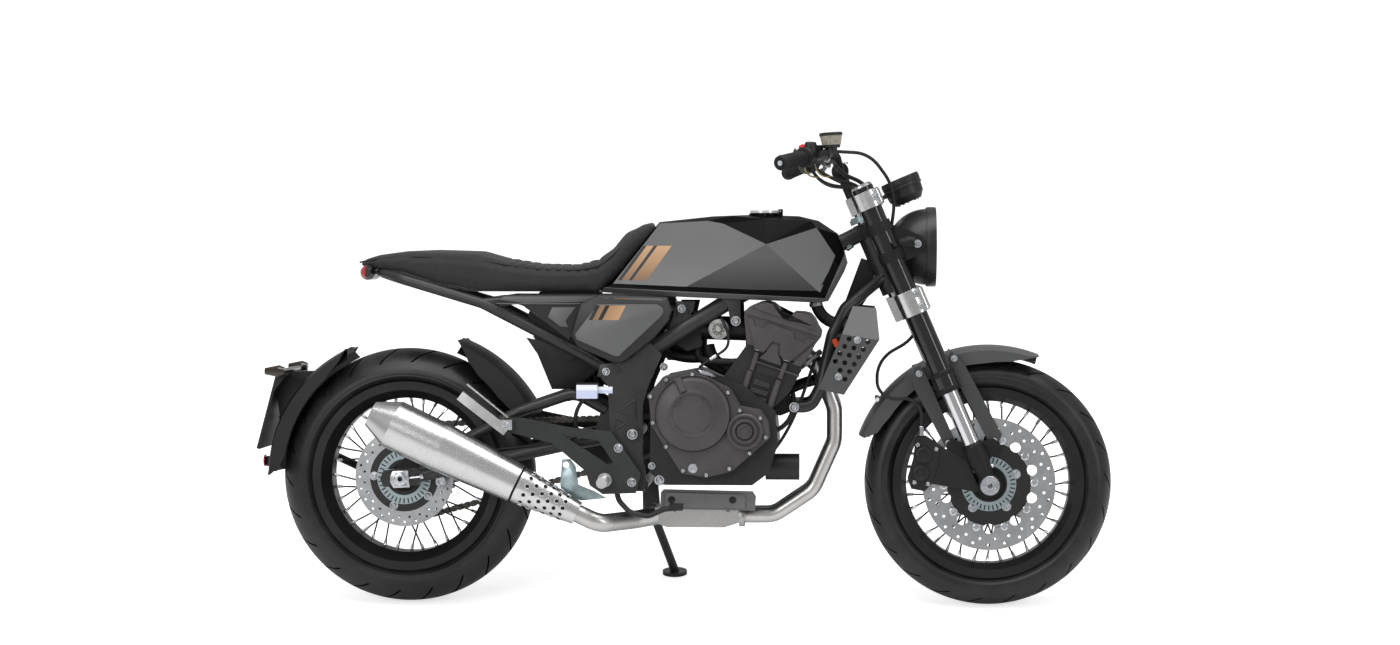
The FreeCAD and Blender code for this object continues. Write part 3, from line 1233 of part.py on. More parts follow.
cap_lugs = [block(f"cap_lug_{number}", (hinge_x - 5.0, y, filler_base.z - 10.0), (hinge_x + 6.0, y + 6.0, hinge_z + 5.0))
            for number, y in enumerate((-15.0, 9.0))]
cap_pin_room = rod("cap_pin_room", Vector(hinge_x, -30, hinge_z), Vector(hinge_x, 30, hinge_z),
                   4.0 + size("bearing_fit") * 2.0)
filler_hole = rod("filler_hole", filler_base - UPWARD * 60.0, filler_base + UPWARD * 20.0, size("filler_bore") * 2.0)
tank_body = fused("tank_with_filler", [cut("tank_saddle", tank_skin, tunnel), filler_neck] + cap_lugs)
node("fuel_tank", [cut("tank_bored", tank_body, [filler_hole, cap_pin_room])])

cap_low = filler_base.z + 3.0 + size("seat_gap")
cap_disc = rod("cap_disc", Vector(size("filler_x"), 0, cap_low),
               Vector(size("filler_x"), 0, cap_low + size("cap_thickness")), size("filler_radius") * 2.0)
cap_tongue = block("cap_tongue", (size("filler_x") + 20.0, -8.4, cap_low + 1.0),
                   (hinge_x, 8.4, cap_low + size("cap_thickness") - 1.0))
cap_eye = rod("cap_eye", Vector(hinge_x, -8.4, hinge_z), Vector(hinge_x, 8.4, hinge_z), 8.0)
cap_pin = rod("cap_pin", Vector(hinge_x, -14.0, hinge_z), Vector(hinge_x, 14.0, hinge_z), 4.0)
node("filler_cap", [fused("filler_cap_whole", [cap_disc, cap_tongue, cap_eye, cap_pin])])

# Seat pad with its hump against the tank, and the tray under it

half_seat = size("seat_half_width")
SEAT_ROWS = [
    (-124, 828, 838, 0.16), (-70, 829, 852, 0.56), (0, 812, 862, 0.80), (80, 786, 866, 0.94), (184, 764, 863, 1.00),
    (240, 764, 846, 0.99), (330, 764, 831, 0.96), (420, 764, 829, 0.90), (474, 764, 841, 0.86),
]


def seat_section(x_low, low, x_high, high, share):
    """One cross section of the pad: flat below, crowned above."""
    wide = half_seat * share
    rows = [(0.96, 0.0), (1.0, 0.25), (0.97, 0.62), (0.78, 0.88), (0.42, 0.98)]
    left = [(wide * y, up) for y, up in rows]
    right = [(-y, up) for y, up in reversed(left)]
    points = []
    for y, up in left + right:
        points.append(Vector(x_low + (x_high - x_low) * up, y, low + (high - low) * up))
    return points


seat_sections = [seat_section(x, low, x, high, share) for x, low, high, share in SEAT_ROWS]
seat_sections.append(seat_section(480.0, 764.0, 512.0, 868.0, 0.84))
seat_sections.append(seat_section(520.0, 815.0, 540.0, 903.0, 0.78))
seat_sections.append(seat_section(578.0, 888.0, 572.0, 931.0, 0.62))
seat_sections.append(seat_section(606.0, 923.0, 600.0, 938.0, 0.44))
seat_skin = lofted("seat_skin", seat_sections)
tank_back = document.addObject("Part::Feature", "tank_back_room")
tank_back.Shape = Part.Face(Part.makePolygon([
    Vector(472.0, -200, 755), Vector(478.5, -200, 763), Vector(486.5, -200, 773), Vector(612.0, -200, 929),
    Vector(624.0, -200, 944), Vector(760, -200, 944), Vector(760, -200, 755), Vector(472.0, -200, 755)
])).extrude(Vector(0, 400, 0))
node("seat", [cut("seat_trimmed", seat_skin, [tank_back])])

TRAY = [(300, 706), (330, 763.7), (468, 763.7), (474, 752), (560, 752), (584, 700), (584, 692), (400, 594),
        (384, 602)]
tray = plate("seat_tray_box", [flat(TRAY)], 150.0, 0.0)
tray_half = rail_place - rail / 2.0 - size("seat_gap")
tray_rod = rod("seat_tray_rod", Vector(430, -tray_half, 615.2), Vector(430, tray_half, 615.2), 20.0)
node("under_seat_tray", [fused("seat_tray_whole", [tray, tray_rod])])

SIDE_COVER = [
    (389, 704), (420, 670), (521, 594), (545, 603), (581, 656), (605, 709), (598, 747), (581, 757), (485, 747),
    (461, 728),
]
WING = [(223, 753), (250, 757), (484, 757), (461, 728), (421, 670), (406, 648), (359, 684), (296, 730)]
covers = []
cover_thickness = size("side_cover_thickness")
cover_inner = size("pivot_plate_place") + size("pivot_plate_thickness") / 2.0 + size("seat_gap")
cover_middle = cover_inner + cover_thickness / 2.0
wing_inner = rail_place + rail / 2.0 + size("seat_gap")
for side, sign in SIDES.items():
    shell = plate(f"{side}_cover_shell", [flat(SIDE_COVER)], cover_thickness, sign * cover_middle)
    wing = plate(f"{side}_cover_wing", [flat(WING)], 8.0, sign * (wing_inner + 4.0))
    wing_web = plate(f"{side}_cover_web", [flat([(400, 690), (430, 750), (560, 750), (560, 700), (520, 660)])],
                     cover_inner + 2.0 - wing_inner, sign * (cover_inner + 2.0 + wing_inner) / 2.0)
    covers.append(fused(f"{side}_cover", [shell, wing, wing_web]))
node("side_covers", covers)

tail = turned("tail_lamp_body", [[(-60.0, 0.0), (-60.0, 10.0), (-44.0, 18.0), (44.0, 18.0), (60.0, 10.0), (60.0, 0.0)]],
              Vector(-97.4, 0, 810))
node("tail_light", [tail])

# Mudguards: thin skins bent round the tyres


def arc_skin(name, centre, radius, half_width, drop, thickness, first, last):
    """A skin with dropped edges, bent round a wheel from one angle down to another."""
    outer = [(-half_width, radius - drop), (-half_width * 0.55, radius - drop * 0.22),
             (half_width * 0.55, radius - drop * 0.22, (0.0, radius)), (half_width, radius - drop)]
    inner = [(half_width - thickness, radius - drop - thickness * 0.4),
             (half_width * 0.55 - thickness * 0.3, radius - drop * 0.22 - thickness),
             (-half_width * 0.55 + thickness * 0.3, radius - drop * 0.22 - thickness, (0.0, radius - thickness)),
             (-half_width + thickness, radius - drop - thickness * 0.4)]
    skin = turned(name, [outer + inner], centre, ACROSS, first - last)
    turn = Placement(Vector(), Rotation(ACROSS, 180.0 - first), centre)
    skin.Placement = turn.multiply(skin.Placement)
    return skin


front_guard_radius = size("front_mudguard_radius")
guard_skin = size("mudguard_thickness")
front_skin = arc_skin("front_mudguard_skin", FRONT_AXLE, front_guard_radius + 14.0, size("front_mudguard_half_width"),
                      22.0, guard_skin, 159.0, 69.0)
FRONT_STAY = [(1318, 604), (1328, 622), (1360, 590), (1450, 420), (1440, 393), (1426, 390), (1417, 406), (1347, 540)]
REAR_STAY = [(1234, 556), (1238, 580), (1254, 586), (1268, 562), (1338, 404), (1330, 388), (1313, 393), (1240, 530)]
stay_place = foot_face - size("seat_gap") - 2.0
guard_pieces = [front_skin]
for side, sign in SIDES.items():
    for name, outline, bridge_at in (
            ("front", FRONT_STAY, (1335.0, 604.0)),
            ("rear", REAR_STAY, (1250.6, 566.7))):
        guard_pieces.append(plate(f"{side}_{name}_stay", [flat(outline)], 4.0, sign * stay_place))
        inner = sign * (size("front_mudguard_half_width") - 12.0)
        guard_pieces.append(rod(f"{side}_{name}_stay_root", Vector(bridge_at[0], inner, bridge_at[1]),
                                Vector(bridge_at[0], sign * stay_place, bridge_at[1]), 22.0))
node("front_mudguard", [fused("front_mudguard_whole", guard_pieces, False)])

rear_skin = arc_skin("rear_mudguard_skin", REAR_AXLE, size("rear_mudguard_radius") + 14.0,
                     size("rear_mudguard_half_width"), 26.0, guard_skin, 178.0, 116.0)
board_root = plate("plate_board_root", [flat([
    (-240, 566), (-318, 566), (-330, 530), (-318, 430), (-306, 380), (-300, 470), (-262, 545)])], 44.0, 0.0)
plate_board = plate("plate_board", [flat([
    (-292, 560), (-318, 560), (-366, 380), (-358, 378), (-322, 520)])], 170.0, 0.0)
carrier_place = size("arm_place") + size("dropout_thickness") / 2.0 + size("seat_gap") + 10.0
carrier = tube("mudguard_carrier", [
    Vector(-6, carrier_place, 282), Vector(-120, carrier_place, 300), Vector(-268, carrier_place - 26.0, 372),
    Vector(-318, 60, 440), Vector(-318, 0, 450)], 20.0, 60.0)
carrier_boss = rod("mudguard_carrier_boss", Vector(8, carrier_place - 10.0, 296),
                   Vector(8, carrier_place + 4.0, 296), 44.0)
axle_end_room = rod("axle_end_room", REAR_AXLE + ACROSS * 120.0, REAR_AXLE + ACROSS * 190.0,
                    size("axle_diameter") + size("seat_gap") * 2.0)
holder = cut("plate_holder_bored", fused("plate_holder_welded", [carrier, carrier_boss, board_root]), [axle_end_room])
node("rear_mudguard", [fused("rear_mudguard_whole", [holder, rear_skin, plate_board], False)])
stalk_z = 566.0 + size("seat_gap") + 5.0
indicator_pieces = [rod("indicator_stalks", Vector(-296, -130, stalk_z), Vector(-296, 130, stalk_z), 10.0)]
for side, sign in SIDES.items():
    indicator_pieces.append(turned(f"{side}_indicator", [[
        (-14.0, 0.0), (-14.0, 10.0), (0.0, 15.0), (34.0, 8.0), (34.0, 0.0)]],
        Vector(-298, sign * 138, stalk_z), -AHEAD))
node("rear_indicators", [fused("rear_indicators_whole", indicator_pieces)])

hugger_skin = arc_skin("hugger_skin", REAR_AXLE, size("hugger_radius") + 14.0, size("hugger_half_width"), 30.0,
                       guard_skin, 67.0, 26.0)
hugger_pieces = [hugger_skin]
for side, sign in SIDES.items():
    hugger_pieces.append(rod(f"{side}_hugger_boss", Vector(300, sign * (size("hugger_half_width") - 6.0), 474),
                             Vector(300, sign * 110.4, 474), 18.0))
node("rear_hugger", [fused("rear_hugger_whole", hugger_pieces)])

# Footrests: hangers, pegs and pedals on both sides

hanger_place = 165.0
hanger_half = size("hanger_thickness") / 2.0
HANGER = [(243, 435), (267, 463), (303, 461), (407, 440), (512, 430), (584, 329), (572, 282), (492, 279),
          (461, 300), (451, 334), (370, 401), (298, 419)]
HANGER_HOLE = [(397, 420), (482, 408), (518, 355), (508, 348)]
plate_face = size("pivot_plate_place") + size("pivot_plate_thickness") / 2.0
hanger_pieces = []
peg_pieces = []
for side, sign in SIDES.items():
    hanger_plate = plate(f"{side}_hanger_plate", [flat(HANGER), flat(HANGER_HOLE)], size("hanger_thickness"),
                         sign * hanger_place)
    bosses = [rod(f"{side}_hanger_boss_{number}", Vector(x, sign * plate_face, z), Vector(x, sign * hanger_place, z), 18.0)
              for number, (x, z) in enumerate(((530.0, 390.0), (562.0, 308.0)))]
    hanger_pieces.append(fused(f"{side}_hanger", [hanger_plate] + bosses))
    face = hanger_place + hanger_half
    mount = rod(f"{side}_peg_mount", Vector(498, sign * face, 314), Vector(498, sign * (face + 16.0), 314), 34.0)
    peg = rod(f"{side}_peg", Vector(498, sign * (face + 10.0), 314), Vector(498, sign * (face + 104.0), 314),
              size("peg_diameter"))
    fold = Vector(150, 0, 532) - Vector(262, 0, 446)
    fold_block = block(f"{side}_fold_block", (246.0, min(sign * face, sign * (face + 20.0)), 434.0),
                       (276.0, max(sign * face, sign * (face + 20.0)), 458.0))
    fold_peg = document.addObject("Part::Box", f"{side}_fold_peg")
    fold_peg.Length = fold.Length
    fold_peg.Width = 18.0
    fold_peg.Height = 24.0
    fold_peg.Placement = Placement(Vector(270, sign * (face + 12.0) - 9.0, 440), Rotation(AHEAD, fold))
    peg_pieces.append(fused(f"{side}_rider_peg", [mount, peg]))
    peg_pieces.append(fused(f"{side}_passenger_peg", [fold_block, fold_peg]))
node("footpeg_hangers", hanger_pieces)
node("footpegs", peg_pieces)

pedal_place = hanger_place - hanger_half
brake_pedal = fused("brake_pedal", [
    tube("brake_arm", [Vector(520, -pedal_place + 7.0, 300), Vector(530, -pedal_place + 7.0, 262),
                       Vector(556, -162, 236), Vector(600, -168, 226),
                       Vector(640, -172, 244), Vector(672, -176, 248)], 13.0, 30.0),
    rod("brake_pedal_eye", Vector(520, -pedal_place, 300), Vector(520, -pedal_place + 16.0, 300), 30.0),
    block("brake_pad", (654.0, -205.0, 244.0), (686.0, -166.0, 258.0))])
gear_pedal = fused("gear_pedal", [
    tube("gear_arm", [Vector(520, pedal_place - 7.0, 300), Vector(570, pedal_place - 7.0, 270),
                      Vector(640, 176, 286), Vector(668, 178, 296)], 13.0, 30.0),
    rod("gear_pedal_eye", Vector(520, pedal_place - 16.0, 300), Vector(520, pedal_place, 300), 30.0),
    rod("gear_toe_peg", Vector(666, 170, 296), Vector(666, 210, 296), 18.0)])
node("foot_pedals", [brake_pedal, gear_pedal])

# Rear brake caliper, with its slot for the disc, and the reservoir

REAR_CALIPER = [(34, 380), (92, 346), (132, 392), (74, 434)]
slot_depth = size("disc_thickness") + size("disc_clearance") * 2.0
slot_low = rear_disc_face - size("disc_clearance")
caliper_inner = slot_low - 8.0
caliper_outer = slot_low + slot_depth + 8.0
rear_caliper_block = plate("rear_caliper_block", [flat(REAR_CALIPER)], caliper_outer - caliper_inner,
                           -(caliper_outer + caliper_inner) / 2.0)
rear_slot = rod("rear_caliper_slot", REAR_AXLE - ACROSS * slot_low, REAR_AXLE - ACROSS * (slot_low + slot_depth),
                (size("rear_disc_radius") + size("disc_clearance")) * 2.0)
rear_anchor = plate("rear_caliper_anchor", [flat([(-24, 300), (-24, 328), (30, 392), (96, 350), (24, 292)])],
                    4.0, -(dropout_face - 2.0 - size("seat_gap")))
collar_room = rod("rear_collar_room", Vector(0, -160, REAR_AXLE.z), Vector(0, -60, REAR_AXLE.z),
                  (size("collar_radius") + size("seat_gap")) * 2.0)
node("rear_caliper", [cut("rear_caliper_whole", fused("rear_caliper_cast", [rear_caliper_block, rear_anchor]),
                          [rear_slot, collar_room])])
reservoir_face = plate_face + size("seat_gap")
node("rear_brake_reservoir", [fused("reservoir_pot", [
    block("reservoir_box", (428.0, -160.0, 508.0), (478.0, -132.0, 546.0)),
    block("reservoir_tab", (470.0, -reservoir_face - 4.0, 520.0), (514.0, -reservoir_face, 536.0))])])

# Front caliper, bolted behind the right fork foot

FRONT_CALIPER = [(1244, 412), (1268, 416), (1304, 392), (1296, 350), (1282, 302), (1264, 284), (1232, 290),
                 (1224, 312), (1238, 360)]
front_slot_low = disc_face - size("disc_clearance")
front_caliper_inner = front_slot_low - 11.0
front_caliper_outer = front_slot_low + slot_depth + 22.0
front_caliper_block = plate("front_caliper_block", [flat(FRONT_CALIPER)], front_caliper_outer - front_caliper_inner,
                            -(front_caliper_outer + front_caliper_inner) / 2.0)
front_slot = rod("front_caliper_slot", FRONT_AXLE - ACROSS * front_slot_low,
                 FRONT_AXLE - ACROSS * (front_slot_low + slot_depth),
                 (size("front_disc_radius") + size("disc_clearance")) * 2.0)
caliper_arm = plate("front_caliper_arm", [flat([(1304, 392), (1380, 350), (1402, 300), (1390, 282), (1282, 302),
                                               (1296, 350)])], 9.0, -(foot_face + 8.0))
foot_room = rod("caliper_arm_foot_room", FRONT_AXLE - ACROSS * 160.0, FRONT_AXLE - ACROSS * 60.0,
                (size("foot_boss_radius") + size("seat_gap")) * 2.0)
lug_room = plate("caliper_arm_lug_room", [flat(FOOT_LUG)], 11.6, -(foot_face + 5.5))
shank_room = rod("caliper_arm_shank_room", on_fork(-10.0, 0.0, -size("fork_half_spread")),
                 on_fork(130.0, 0.0, -size("fork_half_spread")), 54.0)
node("front_caliper", [cut("front_caliper_whole", fused("front_caliper_cast", [front_caliper_block, caliper_arm]),
                           [front_slot, foot_room, shank_room, lug_room])])

# Handlebar on two risers, grips, switch pods, levers and the brake cup

bar_end_y = size("handlebar_half_width")
BAR_HALF = [Vector(927, bar_end_y, 1066), Vector(1012, 168, 1095), Vector(1050, 96, 1092), Vector(1060, 56, 1057)]


def mirrored(point):
    """The same point on the machine's other side."""
    return Vector(point.x, -point.y, point.z)


bar_line = BAR_HALF + [mirrored(point) for point in reversed(BAR_HALF)]
bar = tube("bar_tube", bar_line, size("handlebar_diameter"), 34.0)
bar_pieces = [bar]
for side, sign in SIDES.items():
    top_face = top_start + size("top_clamp_height")
    bar_pieces.append(rod(f"{side}_riser", on_steering(top_face, -3.0, sign * 29.0),
                          on_steering(846.0, -3.0, sign * 29.0), 24.0))
    bar_pieces.append(rod(f"{side}_bar_clamp", Vector(1060, sign * 29.0 - 13.0, 1057),
                          Vector(1060, sign * 29.0 + 13.0, 1057), 42.0))
node("handlebar", [fused("handlebar_whole", bar_pieces)])

bar_slope = (BAR_HALF[1] - BAR_HALF[0]).normalize()


def on_bar(distance, sign, forward=0.0, up=0.0):
    """A point along the bar from its end inward, on the side given."""
    point = BAR_HALF[0] + bar_slope * distance + AHEAD * forward + UPWARD * up
    return point if sign > 0 else mirrored(point)


grips = []
controls = []
for side, sign in SIDES.items():
    inward = bar_slope if sign > 0 else mirrored(bar_slope)
    bar_bore = size("handlebar_diameter") / 2.0 + size("bearing_fit")
    grip_outer = size("grip_diameter") / 2.0
    grips.append(turned(f"{side}_grip", [[
        (-12.0, 0.0), (-12.0, grip_outer - 3.0), (0.0, grip_outer), (size("grip_length") - 6.0, grip_outer - 1.0),
        (size("grip_length") - 6.0, grip_outer + 3.0), (size("grip_length"), grip_outer + 3.0),
        (size("grip_length"), bar_bore), (0.0, bar_bore), (-0.0 - size("seat_gap"), bar_bore),
        (-0.0 - size("seat_gap"), 0.0)]], on_bar(0.0, sign), inward))
    pod_start = size("grip_length") + size("seat_gap")
    pod = turned(f"{side}_switch_pod", [[
        (pod_start, bar_bore), (pod_start, 22.0), (pod_start + 36.0, 22.0), (pod_start + 36.0, bar_bore)]],
        on_bar(0.0, sign), inward)
    pod_lid = rod(f"{side}_pod_lid", on_bar(pod_start + 18.0, sign, 10.0, 8.0), on_bar(pod_start + 18.0, sign, 10.0, 28.0), 30.0)
    perch_start = pod_start + 38.0
    perch = turned(f"{side}_perch", [[
        (perch_start, bar_bore), (perch_start, 17.0), (perch_start + 26.0, 17.0), (perch_start + 26.0, bar_bore)]],
        on_bar(0.0, sign), inward)
    bar_room = rod(f"{side}_bar_room", on_bar(100.0, sign), on_bar(240.0, sign), bar_bore * 2.0)
    cylinder = rod(f"{side}_master_cylinder", on_bar(perch_start + 22.0, sign, 34.0, 4.0),
                   on_bar(perch_start - 22.0, sign, 44.0, 4.0), 26.0)
    arm = rod(f"{side}_perch_arm", on_bar(perch_start + 13.0, sign, 12.0, 2.0),
              on_bar(perch_start + 13.0, sign, 40.0, 6.0), 20.0)
    lever = tube(f"{side}_lever", [
        on_bar(perch_start - 12.0, sign, 40.0, 4.0), on_bar(perch_start - 44.0, sign, 56.0, 2.0),
        on_bar(perch_start - 100.0, sign, 70.0, 2.0), on_bar(22.0, sign, 78.0, 0.0)], 11.0, 60.0)
    knob = document.addObject("Part::Sphere", f"{side}_lever_ball")
    knob.Radius = 8.0
    knob.Placement = Placement(on_bar(20.0, sign, 78.0, 0.0), Rotation())
    mirror_foot = on_bar(perch_start + 13.0, sign, 18.0, 4.0)
    mirror_boss = rod(f"{side}_mirror_boss", mirror_foot, mirror_foot + UPWARD * 20.0, 19.0)
    mirror_hole = rod(f"{side}_mirror_hole", mirror_foot + UPWARD * 4.0, mirror_foot + UPWARD * 30.0,
                      size("mirror_hole_diameter"))
    perch_pieces = [perch, cylinder, arm, lever, knob, mirror_boss]
    if sign < 0:
        cup_foot = on_bar(perch_start - 10.0, sign, 56.0, 6.0)
        perch_pieces.append(rod("brake_cup_stem", cup_foot, cup_foot + UPWARD * 16.0, 26.0))
        perch_pieces.append(turned("brake_cup", [[(0.0, 0.0), (0.0, 20.0), (30.0, 25.0), (36.0, 25.0), (36.0, 0.0)]],
                                   cup_foot + UPWARD * 14.0, FORK_UP * 0.2 + UPWARD))
    controls.append(cut(f"{side}_pod", fused(f"{side}_pod_whole", [pod, pod_lid]), [bar_room]))
    controls.append(cut(f"{side}_perch_bored", fused(f"{side}_perch_whole", perch_pieces), [bar_room, mirror_hole]))
node("grips", grips)
node("hand_controls", controls)

# Dial on a bracket ahead of the top clamp

dial_forward = 121.5
dial_top = 763.0
dial_radius = size("dial_radius")
dial_depth = size("dial_depth")
dial_case = turned("dial_case", [[
    (dial_top - dial_depth, 0.0), (dial_top - dial_depth, dial_radius - 14.0), (dial_top - dial_depth + 16.0, dial_radius - 3.0),
    (dial_top - 24.0, dial_radius - 1.0), (dial_top - 24.0, dial_radius), (dial_top, dial_radius),
    (dial_top, dial_radius - 4.0), (dial_top - 3.0, dial_radius - 4.0), (dial_top - 3.0, 0.0)]],
    STEERING_ROOT + FORK_FORWARD * dial_forward, FORK_UP)
clamp_front = size("fork_offset") + 8.0
dial_bracket = document.addObject("Part::Box", "dial_bracket")
dial_bracket.Length = dial_forward - dial_radius + 8.0 - clamp_front
dial_bracket.Width = 40.0
dial_bracket.Height = 10.0
dial_bracket.Placement = Placement(on_steering(732.0, clamp_front, -20.0), Rotation(ACROSS, -size("rake_angle")))
node("instrument", [fused("instrument_whole", [dial_case, dial_bracket])])

# Headlight: a domed shell, its glass, and the bracket that holds it to the fork

lamp_radius = size("headlight_radius")
lamp_face = Vector(size("headlight_face_x"), 0, size("headlight_z"))
lamp_shell = turned("headlight_shell", [[
    (0.0, lamp_radius - 5.0), (0.0, lamp_radius), (-24.0, lamp_radius), (-24.0, lamp_radius - 2.0),
    (-120.0, 0.0, (-92.0, 62.0)), (-7.0, 0.0), (-7.0, lamp_radius - 5.0)]], lamp_face, AHEAD)
lamp_ears = rod("headlight_ears", Vector(1246, -97.0, 880), Vector(1246, 97.0, 880), 26.0)
lamp_back_room = rod("headlight_back_room", on_steering(head_start - 20.0), on_steering(head_end + 20.0),
                     (head_radius + 5.5) * 2.0)
node("headlight", [cut("headlight_trimmed", fused("headlight_whole", [lamp_shell, lamp_ears]), [lamp_back_room])])
node("headlight_glass", [turned("headlight_lens", [[
    (-7.0 + size("seat_gap"), 0.0), (-7.0 + size("seat_gap"), lamp_radius - 5.0 - size("seat_gap")),
    (-2.0, lamp_radius - 5.0 - size("seat_gap")), (4.0, 0.0, (2.4, 50.0))]], lamp_face, AHEAD)])
BRACKET = [(1158, 936), (1176, 930), (1256, 900), (1266, 880), (1258, 860), (1218, 838), (1200, 832)]
brackets = []
for side, sign in SIDES.items():
    leg_y = sign * size("fork_half_spread")
    ear = plate(f"{side}_bracket_ear", [flat(BRACKET)], 4.0, sign * 99.0)
    sleeves = [rod(f"{side}_bracket_sleeve_{number}", on_fork(start, 0.0, leg_y), on_fork(start + 26.0, 0.0, leg_y),
                   size("fork_tube_diameter") + 8.0) for number, start in enumerate((586.0, 660.0))]
    leg_room = rod(f"{side}_bracket_room", on_fork(520.0, 0.0, leg_y), on_fork(740.0, 0.0, leg_y),
                   size("fork_tube_diameter") + size("bearing_fit") * 2.0)
    signal_stalk = rod(f"{side}_front_signal_stalk", Vector(1230, sign * 99.0, 880), Vector(1222, sign * 150.0, 884), 10.0)
    signal = turned(f"{side}_front_signal", [[(-20.0, 0.0), (-20.0, 8.0), (0.0, 15.0), (16.0, 12.0), (16.0, 0.0)]],
                    Vector(1222, sign * 156.0, 884), AHEAD)
    brackets.append(cut(f"{side}_bracket", fused(f"{side}_bracket_whole", [ear, signal_stalk, signal] + sleeves), [leg_room]))
node("headlight_bracket", brackets)

# Side stand, out on its stop, with its foot flat on the ground

lean_radians = math.radians(size("lean_angle"))
crown = (size("rear_crown_radius") + size("front_crown_radius")) / 2.0
ground_lift = crown * (1.0 - 1.0 / math.cos(lean_radians))
foot_y = size("stand_foot_y")
foot_ground = foot_y * math.tan(lean_radians) + ground_lift
ground_up = Vector(0, -math.sin(lean_radians), math.cos(lean_radians))
stand_foot = Vector(size("stand_foot_x"), foot_y, foot_ground)
lug_start = stand_lug_face + size("seat_gap")
lug_end = lug_start + size("stand_lug_thickness")
stand_eye = rod("stand_eye", Vector(size("stand_pivot_x"), lug_start, size("stand_pivot_z")),
                Vector(size("stand_pivot_x"), lug_end, size("stand_pivot_z")), 32.0)
stand_leg = tube("stand_leg", [
    Vector(size("stand_pivot_x") + 4.0, lug_start + 12.0, size("stand_pivot_z") - 14.0),
    Vector(size("stand_pivot_x") + 14.0, lug_start + 30.0, size("stand_pivot_z") - 46.0),
    stand_foot + ground_up * 8.0], size("stand_leg_diameter"), 40.0)
stand_pad = rod("stand_pad", stand_foot, stand_foot + ground_up * 9.0, 62.0)
stand_trim = block("stand_trim", (500.0, 60.0, 120.0), (700.0, float(lug_start), 260.0))
stand_bore = rod("stand_bore", Vector(size("stand_pivot_x"), 90.0, size("stand_pivot_z")),
                 Vector(size("stand_pivot_x"), 160.0, size("stand_pivot_z")), 10.0 + size("bearing_fit") * 2.0)
ground_trim = document.addObject("Part::Box", "stand_ground_trim")
ground_trim.Length = 300.0
ground_trim.Width = 300.0
ground_trim.Height = 60.0
ground_trim.Placement = Placement(stand_foot - ground_up * 60.0 - AHEAD * 150.0
                                  - Vector(0, math.cos(lean_radians), math.sin(lean_radians)) * 150.0,
                                  Rotation(AHEAD, size("lean_angle")))
node("side_stand", [cut("side_stand_whole", fused("side_stand_welded", [stand_eye, stand_leg, stand_pad]),
                        [stand_trim, stand_bore, ground_trim])])

# Front brake hose, from the cup down past the clamps to the caliper

HOSE = [(1050, -204, 1098), (1130, -140, 1096), (1196, -70, 1010), (1176, -66, 860), (1266, -48, 730),
        (1240, -46, 650), (1150, -56, 600), (1150, -96, 505), (1256, -90, 508), (1256, -90, 415.1)]
node("front_brake_hose", [hose("front_hose", [Vector(*point) for point in HOSE], 8.0)])

# Lean the finished machine onto its stand and put its middle over the origin

document.recompute()
ground_shift = crown * (1.0 - math.cos(lean_radians))
turn = Rotation(AHEAD, -size("lean_angle"))
lean = Placement(Vector(0, 0, ground_shift), turn)
for whole in NODES:
    whole.Placement = lean
document.recompute()
room = FreeCAD.BoundBox()
for whole in NODES:
    room.add(whole.Shape.optimalBoundingBox(False, False))
stance = Placement(Vector(-room.Center.x, -room.Center.y, -room.ZMin), turn)
stance.Base.z = ground_shift - room.ZMin
for whole in NODES:
    whole.Placement = stance
document.recompute()

failed = [item.Name for item in document.Objects if "Invalid" in item.State or "Error" in item.State]
for whole in NODES:
    if whole.Shape.isNull() or not whole.Shape.isValid():
        failed.append(whole.Label)
if failed:
    raise RuntimeError("these objects failed: " + ", ".join(failed))

os.makedirs("parts", exist_ok=True)
for whole in NODES:
    whole.Shape.exportStep(f"parts/{whole.Label}.step")
print(f"{len(NODES)} sub-parts, size {room.XLength:.1f} x {room.YLength:.1f} x {room.ZLength:.1f} mm")
print(f"stance moved by {stance.Base.x:.3f}, {stance.Base.y:.3f}, {stance.Base.z:.3f}")
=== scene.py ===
import math

import bmesh
import bpy
from mathutils import Matrix, Vector


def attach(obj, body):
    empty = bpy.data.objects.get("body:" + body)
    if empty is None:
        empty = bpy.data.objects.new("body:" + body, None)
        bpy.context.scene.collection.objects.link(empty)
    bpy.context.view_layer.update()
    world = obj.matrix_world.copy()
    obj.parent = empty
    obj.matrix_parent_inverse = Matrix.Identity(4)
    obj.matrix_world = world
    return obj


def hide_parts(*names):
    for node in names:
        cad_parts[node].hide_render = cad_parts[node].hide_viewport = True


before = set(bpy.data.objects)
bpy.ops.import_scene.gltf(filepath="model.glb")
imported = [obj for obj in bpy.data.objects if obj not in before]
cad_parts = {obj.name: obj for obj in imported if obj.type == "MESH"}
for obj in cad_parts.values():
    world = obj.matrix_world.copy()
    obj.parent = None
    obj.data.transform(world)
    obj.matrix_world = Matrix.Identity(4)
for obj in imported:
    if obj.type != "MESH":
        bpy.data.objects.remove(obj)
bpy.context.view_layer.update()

# Camera. It stands to the machine's right, level with the side covers, and looks
# square at the side of the leaning machine. Its up is the machine's own.
LEAN = math.radians(10)
FOOT = (-0.677, -0.175891, 0.001276)
SCALE = 0.001
STANCE = Matrix.Translation(FOOT) @ Matrix.Rotation(-LEAN, 4, "X") @ Matrix.Scale(SCALE, 4)
UPRIGHT = STANCE.inverted()
UP, RIGHT = (0, 0, 1), (0, -1, 0)
SIDES = (-1, 1)


def machine(x, y, z):
    """A point of the upright machine, in millimetres from below its rear axle, as it stands."""
    return STANCE @ Vector((x, y, z))


def shown(thing):
    """Put an object in the scene."""
    bpy.context.scene.collection.objects.link(thing)
    return thing


